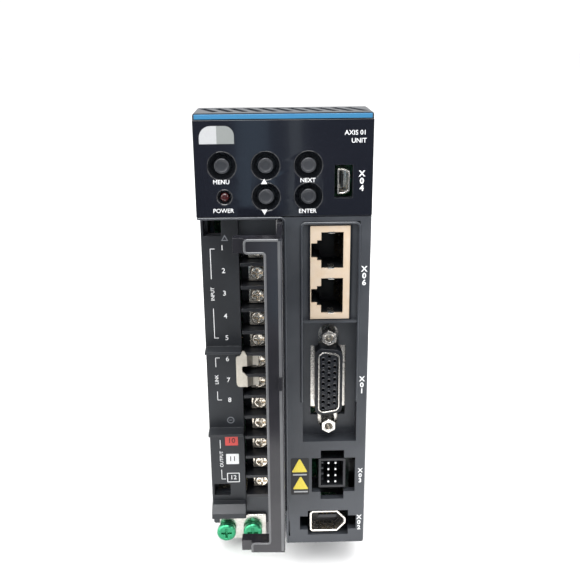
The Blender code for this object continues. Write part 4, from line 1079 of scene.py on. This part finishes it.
def makeHeaderParts():
    # eight square pins with bright tips that carry a painted glow, and the ribs that key the plug
    low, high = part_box("encoder_header")
    middle = (low + high) / 2
    half, cap = headerPins["half"] * mm, headerPins["cap"] * mm
    front = low.y + headerPins["tip"] * mm
    pins = bmesh.new()
    tips = bmesh.new()
    for column in (-0.5, 0.5):
        for row in (-1.5, -0.5, 0.5, 1.5):
            across = middle.x + column * headerPins["pitch"] * mm
            above = middle.z + row * headerPins["pitch"] * mm
            addEased(pins, (across - half, front, above - half),
                     (across + half, high.y - 1.9 * mm, above + half), 0.2)
            addEased(tips, (across - cap, front - 0.15 * mm, above - cap),
                     (across + cap, front + 0.3 * mm, above + cap), 0.15)
    newPiece("headerPins", pins, "black")
    newPiece("headerPinTips", tips, "glowingPinWhite")
    ribs = bmesh.new()
    start = low.x + headerPins["ribStart"] * mm
    for row in (-2, -1, 0, 1, 2):
        above = middle.z + row * headerPins["rib"] * mm + 0.1 * mm
        addEased(ribs, (start, low.y + 3.2 * mm, above - 0.42 * mm),
                 (start + headerPins["ribWidth"] * mm, high.y - 2.1 * mm, above + 0.42 * mm), 0.12)
    newPiece("headerKeyRibs", ribs, "housing")


gilt = {"miniPitch": 0.78, "bladeTop": 10.70, "bladeSides": (0.02, -1.22), "serialPitch": 1.9}


def makePortContacts():
    # thin gilt strips on the tongues of the mini port and the serial port
    low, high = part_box("usb_tongue")
    bm = bmesh.new()
    for index in range(5):
        above = (low.z + high.z) / 2 + (index - 2) * gilt["miniPitch"] * mm
        addEased(bm, (high.x - 0.02 * mm, low.y + 0.6 * mm, above - 0.17 * mm),
                 (high.x + 0.09 * mm, high.y - 0.4 * mm, above + 0.17 * mm), 0.04)
    low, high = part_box("fieldbus_shell")
    for index in range(3):
        across = (low.x + high.x) / 2 + (index - 1) * gilt["serialPitch"] * mm
        for side in gilt["bladeSides"]:
            above = bottomZ + gilt["bladeTop"] * mm + side * mm
            addEased(bm, (across - 0.4 * mm, low.y + 2.0 * mm, above - 0.05 * mm),
                     (across + 0.4 * mm, high.y - 3.2 * mm, above + 0.05 * mm), 0.04)
    newPiece("portContacts", bm, "gold")


makeNetworkContacts()
makeControlPort()
makeSerialPort()
makeHeaderParts()
makePortContacts()
print("stage 5: connectors made")


# shorting link: pressed plate with rounded corners, a nib on top and arms that dip under the washers

linkPlate = {
    "thickness": 0.8, "front": 10.2, "rise": 0.9, "dip": 3.3, "bend": (-13.8, 2.2),
    "cuts": (-13.6, -13.2, -12.8, -12.4, -12.0, -11.6),
    "outline": [(-16.3, 71.2), (-15.9, 71.25), (-15.6, 72.3), (-15.0, 73.0), (-14.3, 72.8), (-13.9, 71.9),
                (-13.5, 71.2), (-12.2, 71.15), (-9.6, 71.1), (-9.6, 67.2), (-13.4, 67.2), (-15.1, 67.2),
                (-15.35, 67.0), (-15.4, 65.5), (-15.2, 65.0), (-14.6, 64.5), (-13.7, 63.4), (-13.2, 63.2),
                (-9.6, 63.2), (-9.6, 59.2), (-16.2, 59.2), (-16.9, 59.45), (-17.3, 60.1), (-17.45, 60.9),
                (-17.45, 70.0), (-17.3, 70.8), (-16.9, 71.1)],
}


def makeShortingLink():
    bm = bmesh.new()
    front = linkPlate["front"]
    start, run = linkPlate["bend"]
    addPlate(bm, linkPlate["outline"], front, front + linkPlate["thickness"])
    for cutAt in linkPlate["cuts"]:
        geometry = list(bm.verts) + list(bm.edges) + list(bm.faces)
        bmesh.ops.bisect_plane(bm, geom=geometry, plane_co=onFront(cutAt, 0), plane_no=(1, 0, 0),
                               dist=0.0001 * mm)
    for vert in bm.verts:
        along = (vert.co.x - onFront(start, 0).x) / (run * mm)
        along = min(max(along, 0.0), 1.0)
        ease = along * along * (3 - 2 * along)
        vert.co.y += ease * linkPlate["dip"] * mm
        vert.co.z -= ease * linkPlate["rise"] * mm
    piece = newPiece("shortingLinkPlate", bm, "link", replaces=("shorting_link",),
                     sharp=30)
    roundEdges(piece, 0.14, 2, 40)


makeShortingLink()


# parts on the boards, seen through the slots

def makeCapacitors():
    for side in ("left", "right"):
        node = "bus_capacitor_" + side
        low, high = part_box(node)
        centre, length = axisOf(node)
        r = (high.x - low.x) / 2 / mm
        profile = [(0, 0.55), (r - 2.3, 0.5), (r - 1.7, 0.1), (r - 1.2, 0.0), (r - 0.35, 0.05), (r, 0.45),
                   (r, length - 4.6), (r - 0.55, length - 3.9), (r - 0.6, length - 3.4), (r, length - 2.7),
                   (r, length - 0.4), (r - 0.4, length), (0, length)]
        bm = bmesh.new()
        addTurned(bm, profile, centre, 48)
        newPiece("busCapacitor" + side.title(), bm, "can", replaces=(node,))


def makeChoke():
    # a ring core and one winding most of the way round it
    low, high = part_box("emi_choke")
    centre = (low + high) / 2
    wire = choke["wire"]
    tube = (high.y - low.y) / 2 / mm
    ring = (high.x - low.x) / 2 / mm - tube

    def spotOn(turn, swing, radius):
        reach = ring + radius * math.cos(swing)
        spot = Vector((math.cos(turn) * reach, radius * math.sin(swing), math.sin(turn) * reach))
        return centre + spot * mm

    bm = bmesh.new()
    sides, around = 48, 16
    grid = [[bm.verts.new(spotOn(2 * math.pi * step / sides, 2 * math.pi * part / around, tube - 2 * wire))
             for part in range(around)] for step in range(sides)]
    for loop, following in zip(grid, grid[1:] + grid[:1]):
        for part in range(around):
            after = (part + 1) % around
            bm.faces.new([loop[part], following[part], following[after], loop[after]])
    newPiece("chokeCore", bm, "black", replaces=("emi_choke",), sharp=180)
    bm = bmesh.new()
    steps = choke["turns"] * choke["perTurn"]
    points = [spotOn(math.radians(choke["start"] + choke["sweep"] * step / steps),
                     2 * math.pi * step / choke["perTurn"], tube - wire) for step in range(steps + 1)]
    addTube(bm, points, wire * 0.9, 8)
    newPiece("chokeWinding", bm, "copper", sharp=180)


harness = {"wires": 5, "first": 1.1, "pitch": 2.2, "sway": 0.25, "rise": 0.55, "radius": 0.85, "steps": 8}


def makeHarness():
    # loose wires that sway a little between the boards
    low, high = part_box("link_harness")
    bm = bmesh.new()
    for index in range(harness["wires"]):
        across = low.x + (harness["first"] + index * harness["pitch"]) * mm
        points = []
        for step in range(harness["steps"] + 1):
            along = step / harness["steps"]
            swing = math.sin(along * math.pi * 2 + index) * math.sin(along * math.pi)
            lift = math.cos(index * 2.1 + along * 5)
            points.append((across + swing * harness["sway"] * mm, low.y + (high.y - low.y) * along,
                           (low.z + high.z) / 2 + lift * harness["rise"] * mm))
        addTube(bm, points, harness["radius"], 10)
    newPiece("linkWires", bm, "sleeve", replaces=("link_harness",), sharp=180)


fuse = {"cap": 5, "cover": 4, "waist": 0.25}


def makeFuse():
    # a ceramic body between two metal caps, made upright
    low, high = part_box("line_fuse")
    centre = (low + high) / 2
    origin = Vector((0, 0, 0))
    r = (high.x - low.x) / 2 / mm
    half = (high.z - low.z) / 2 / mm
    end, waist = half - fuse["cover"], r - fuse["waist"]
    body = bmesh.new()
    caps = bmesh.new()
    addTurned(body, [(0, -end), (waist, -end), (waist, end), (0, end)], origin, 32)
    for way in (-1, 1):
        inner, outer = (half - fuse["cap"]) * way, half * way
        addTurned(caps, [(0, inner), (r - 0.1, inner), (r, inner + 0.3 * way), (r, outer - 0.4 * way),
                         (r - 0.4, outer), (0, outer)], origin, 32)
    stand = Matrix.Translation(centre) @ Matrix.Rotation(math.pi / 2, 4, "X")
    for bm in (body, caps):
        bmesh.ops.transform(bm, matrix=stand, verts=bm.verts)
    newPiece("fuseBody", body, "ceramic", replaces=("line_fuse",))
    newPiece("fuseCaps", caps, "nickel")


chips = {
    "count": 9, "pitch": 1.27, "reach": 0.9, "height": 1.3, "halfWide": (3.2, 5.2), "halfTall": (3.0, 6.5),
    "first": (30, 20), "step": (14.5, 34),
}


def makeChips():
    # small flat chips with legs on the inner face of the control board
    low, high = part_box("control_board")
    bodies = bmesh.new()
    legs = bmesh.new()
    face = low.x
    for index in range(chips["count"]):
        behind = low.y + (chips["first"][0] + chips["step"][0] * (index % 3)) * mm
        above = low.z + (chips["first"][1] + chips["step"][1] * (index // 3)) * mm
        wide = random.uniform(*chips["halfWide"]) * mm
        tall = random.uniform(*chips["halfTall"]) * mm
        addEased(bodies, (face - chips["height"] * mm, behind - wide, above - tall),
                 (face - 0.15 * mm, behind + wide, above + tall), 0.2)
        reach = wide + chips["reach"] * mm
        for leg in range(int(tall / (0.65 * mm))):
            spot = above - tall + (leg * chips["pitch"] + 0.8) * mm
            if spot < above + tall - 0.5 * mm:
                addEased(legs, (face - 0.55 * mm, behind - reach, spot - 0.2 * mm),
                         (face - 0.02 * mm, behind + reach, spot + 0.2 * mm), 0.06, 1)
    newPiece("controlChips", bodies, "black")
    newPiece("controlChipLegs", legs, "steel")


makeCapacitors()
makeChoke()
makeHarness()
makeFuse()
makeChips()
print("stage 6: inner parts made")


# floor, camera and light

def stagePlane(name, finish, corners):
    # a flat sheet that belongs to the staging
    bm = bmesh.new()
    bm.faces.new([bm.verts.new(corner) for corner in corners])
    mesh = bpy.data.meshes.new(name)
    bm.to_mesh(mesh)
    bm.free()
    mesh.materials.append(finish.material)
    sheet = bpy.data.objects.new(name, mesh)
    scene.collection.objects.link(sheet)
    return sheet


def makeFloor():
    finish = Finish("paleFloor", Specular_IOR_Level=0.2)
    cloud = finish.noise(260.0, 2.0)
    finish.set("Base Color", finish.mixed(cloud, (0.95, 0.95, 0.95), (0.97, 0.97, 0.97)))
    finish.set("Roughness", 0.7 + cloud * 0.1)
    reach = 6.0
    corners = rectangle(-reach, -reach, reach, reach)
    stagePlane("floor", finish, [(x, y, cadLow.z - 0.2 * mm) for x, y in corners])


camera = {"lens": 47.98, "place": (-4.26, 180.11, -240.89), "yaw": -1.393, "pitch": 18.617, "roll": -0.463}


def makeCamera():
    data = bpy.data.cameras.new("camera")
    data.lens = camera["lens"]
    data.sensor_width = 36
    data.clip_start = 0.01
    data.clip_end = 50
    seen = bpy.data.objects.new("camera", data)
    turn = (
        Matrix.Rotation(math.radians(camera["yaw"]), 4, "Z")
        @ Matrix.Rotation(math.radians(90 - camera["pitch"]), 4, "X")
        @ Matrix.Rotation(math.radians(camera["roll"]), 4, "Z")
    )
    seen.matrix_world = Matrix.Translation(onFront(*camera["place"])) @ turn
    scene.collection.objects.link(seen)
    scene.camera = seen


lamps = {
    "overhead": {"place": (0.05, -0.15, 1.25), "aim": (0, -0.05, 0), "size": (1.4, 1.4), "power": 17.0},
    "frontLeft": {"place": (-0.95, -0.95, 0.75), "aim": (0, -0.1, 0), "size": (0.7, 0.9), "power": 9.0},
    "frontRight": {"place": (1.05, -0.75, 0.60), "aim": (0, -0.1, 0), "size": (0.6, 0.9), "power": 6.0},
}


skyStrength = 1.06


def makeLamps():
    for name, facts in lamps.items():
        data = bpy.data.lights.new(name, "AREA")
        data.shape = "RECTANGLE"
        data.size, data.size_y = facts["size"]
        data.energy = facts["power"]
        lamp = bpy.data.objects.new(name, data)
        lamp.location = facts["place"]
        lamp.rotation_mode = "QUATERNION"
        lamp.rotation_quaternion = (Vector(facts["aim"]) - lamp.location).to_track_quat("-Z", "Y")
        scene.collection.objects.link(lamp)
    world = bpy.data.worlds.new("studio")
    world.use_nodes = True
    sky = world.node_tree.nodes["Background"]
    sky.inputs["Color"].default_value = (1.0, 1.0, 1.0, 1.0)
    sky.inputs["Strength"].default_value = skyStrength
    scene.world = world


# studio cards that only glossy surfaces show: dark ones hide the room in front, bright ones draw edges;
# each has its corners in metres from the front's foot, a colour and a strength

cards = {
    "nearFloorGlow": ([(-0.30, -0.012, 0.0), (0.30, -0.012, 0.0), (0.30, -0.088, 0.0), (-0.30, -0.088, 0.0)],
                      (1.0, 1.0, 1.0), 2.5),
    "farFloorShade": ([(-1.2, -0.14, 0.0), (1.2, -0.14, 0.0), (1.2, -1.2, 0.0), (-1.2, -1.2, 0.0)],
                      (0.9, 0.95, 1.1), 0.06),
    "frontShade": ([(-1.2, -1.2, 0.0), (1.2, -1.2, 0.0), (1.2, -1.2, 0.9), (-1.2, -1.2, 0.9)],
                   (0.9, 0.95, 1.1), 0.06),
    "blueBand": ([(-0.0278, -0.30, 0.0), (-0.0044, -0.30, 0.0), (-0.0044, -0.62, 0.30),
                  (-0.0417, -0.62, 0.30)], (0.55, 0.78, 1.0), 1.0),
    "paleBand": ([(0.0098, -0.30, 0.0), (0.0186, -0.30, 0.0), (0.0321, -0.62, 0.30),
                  (0.0182, -0.62, 0.30)], (0.85, 0.95, 1.0), 1.25),
    "skyGlow": ([(-0.40, -0.03, 0.90), (0.35, -0.03, 0.90), (0.35, -0.66, 0.86), (-0.40, -0.66, 0.86)],
                (1.0, 1.0, 1.0), 13.0),
    "leftGlow": ([(-0.42, -0.25, 0.0), (-0.42, 0.12, 0.0), (-0.42, 0.12, 0.45), (-0.42, -0.25, 0.45)],
                 (1.0, 1.0, 1.0), 3.5),
}


def makeCards():
    foot = Vector((centreX, frontY, cadLow.z + 0.5 * mm))
    for name, (corners, colour, glow) in cards.items():
        finish = Finish(name, Base_Color=(0, 0, 0), Specular_IOR_Level=0.0, Emission_Color=colour)
        finish.set("Emission Strength", glow)
        card = stagePlane(name, finish, [foot + Vector(corner) for corner in corners])
        for ray in ("camera", "diffuse", "shadow", "transmission"):
            setattr(card, "visible_" + ray, False)


makeFloor()
makeCards()
makeCamera()
makeLamps()
print("stage 7: floor, camera and lamps made")
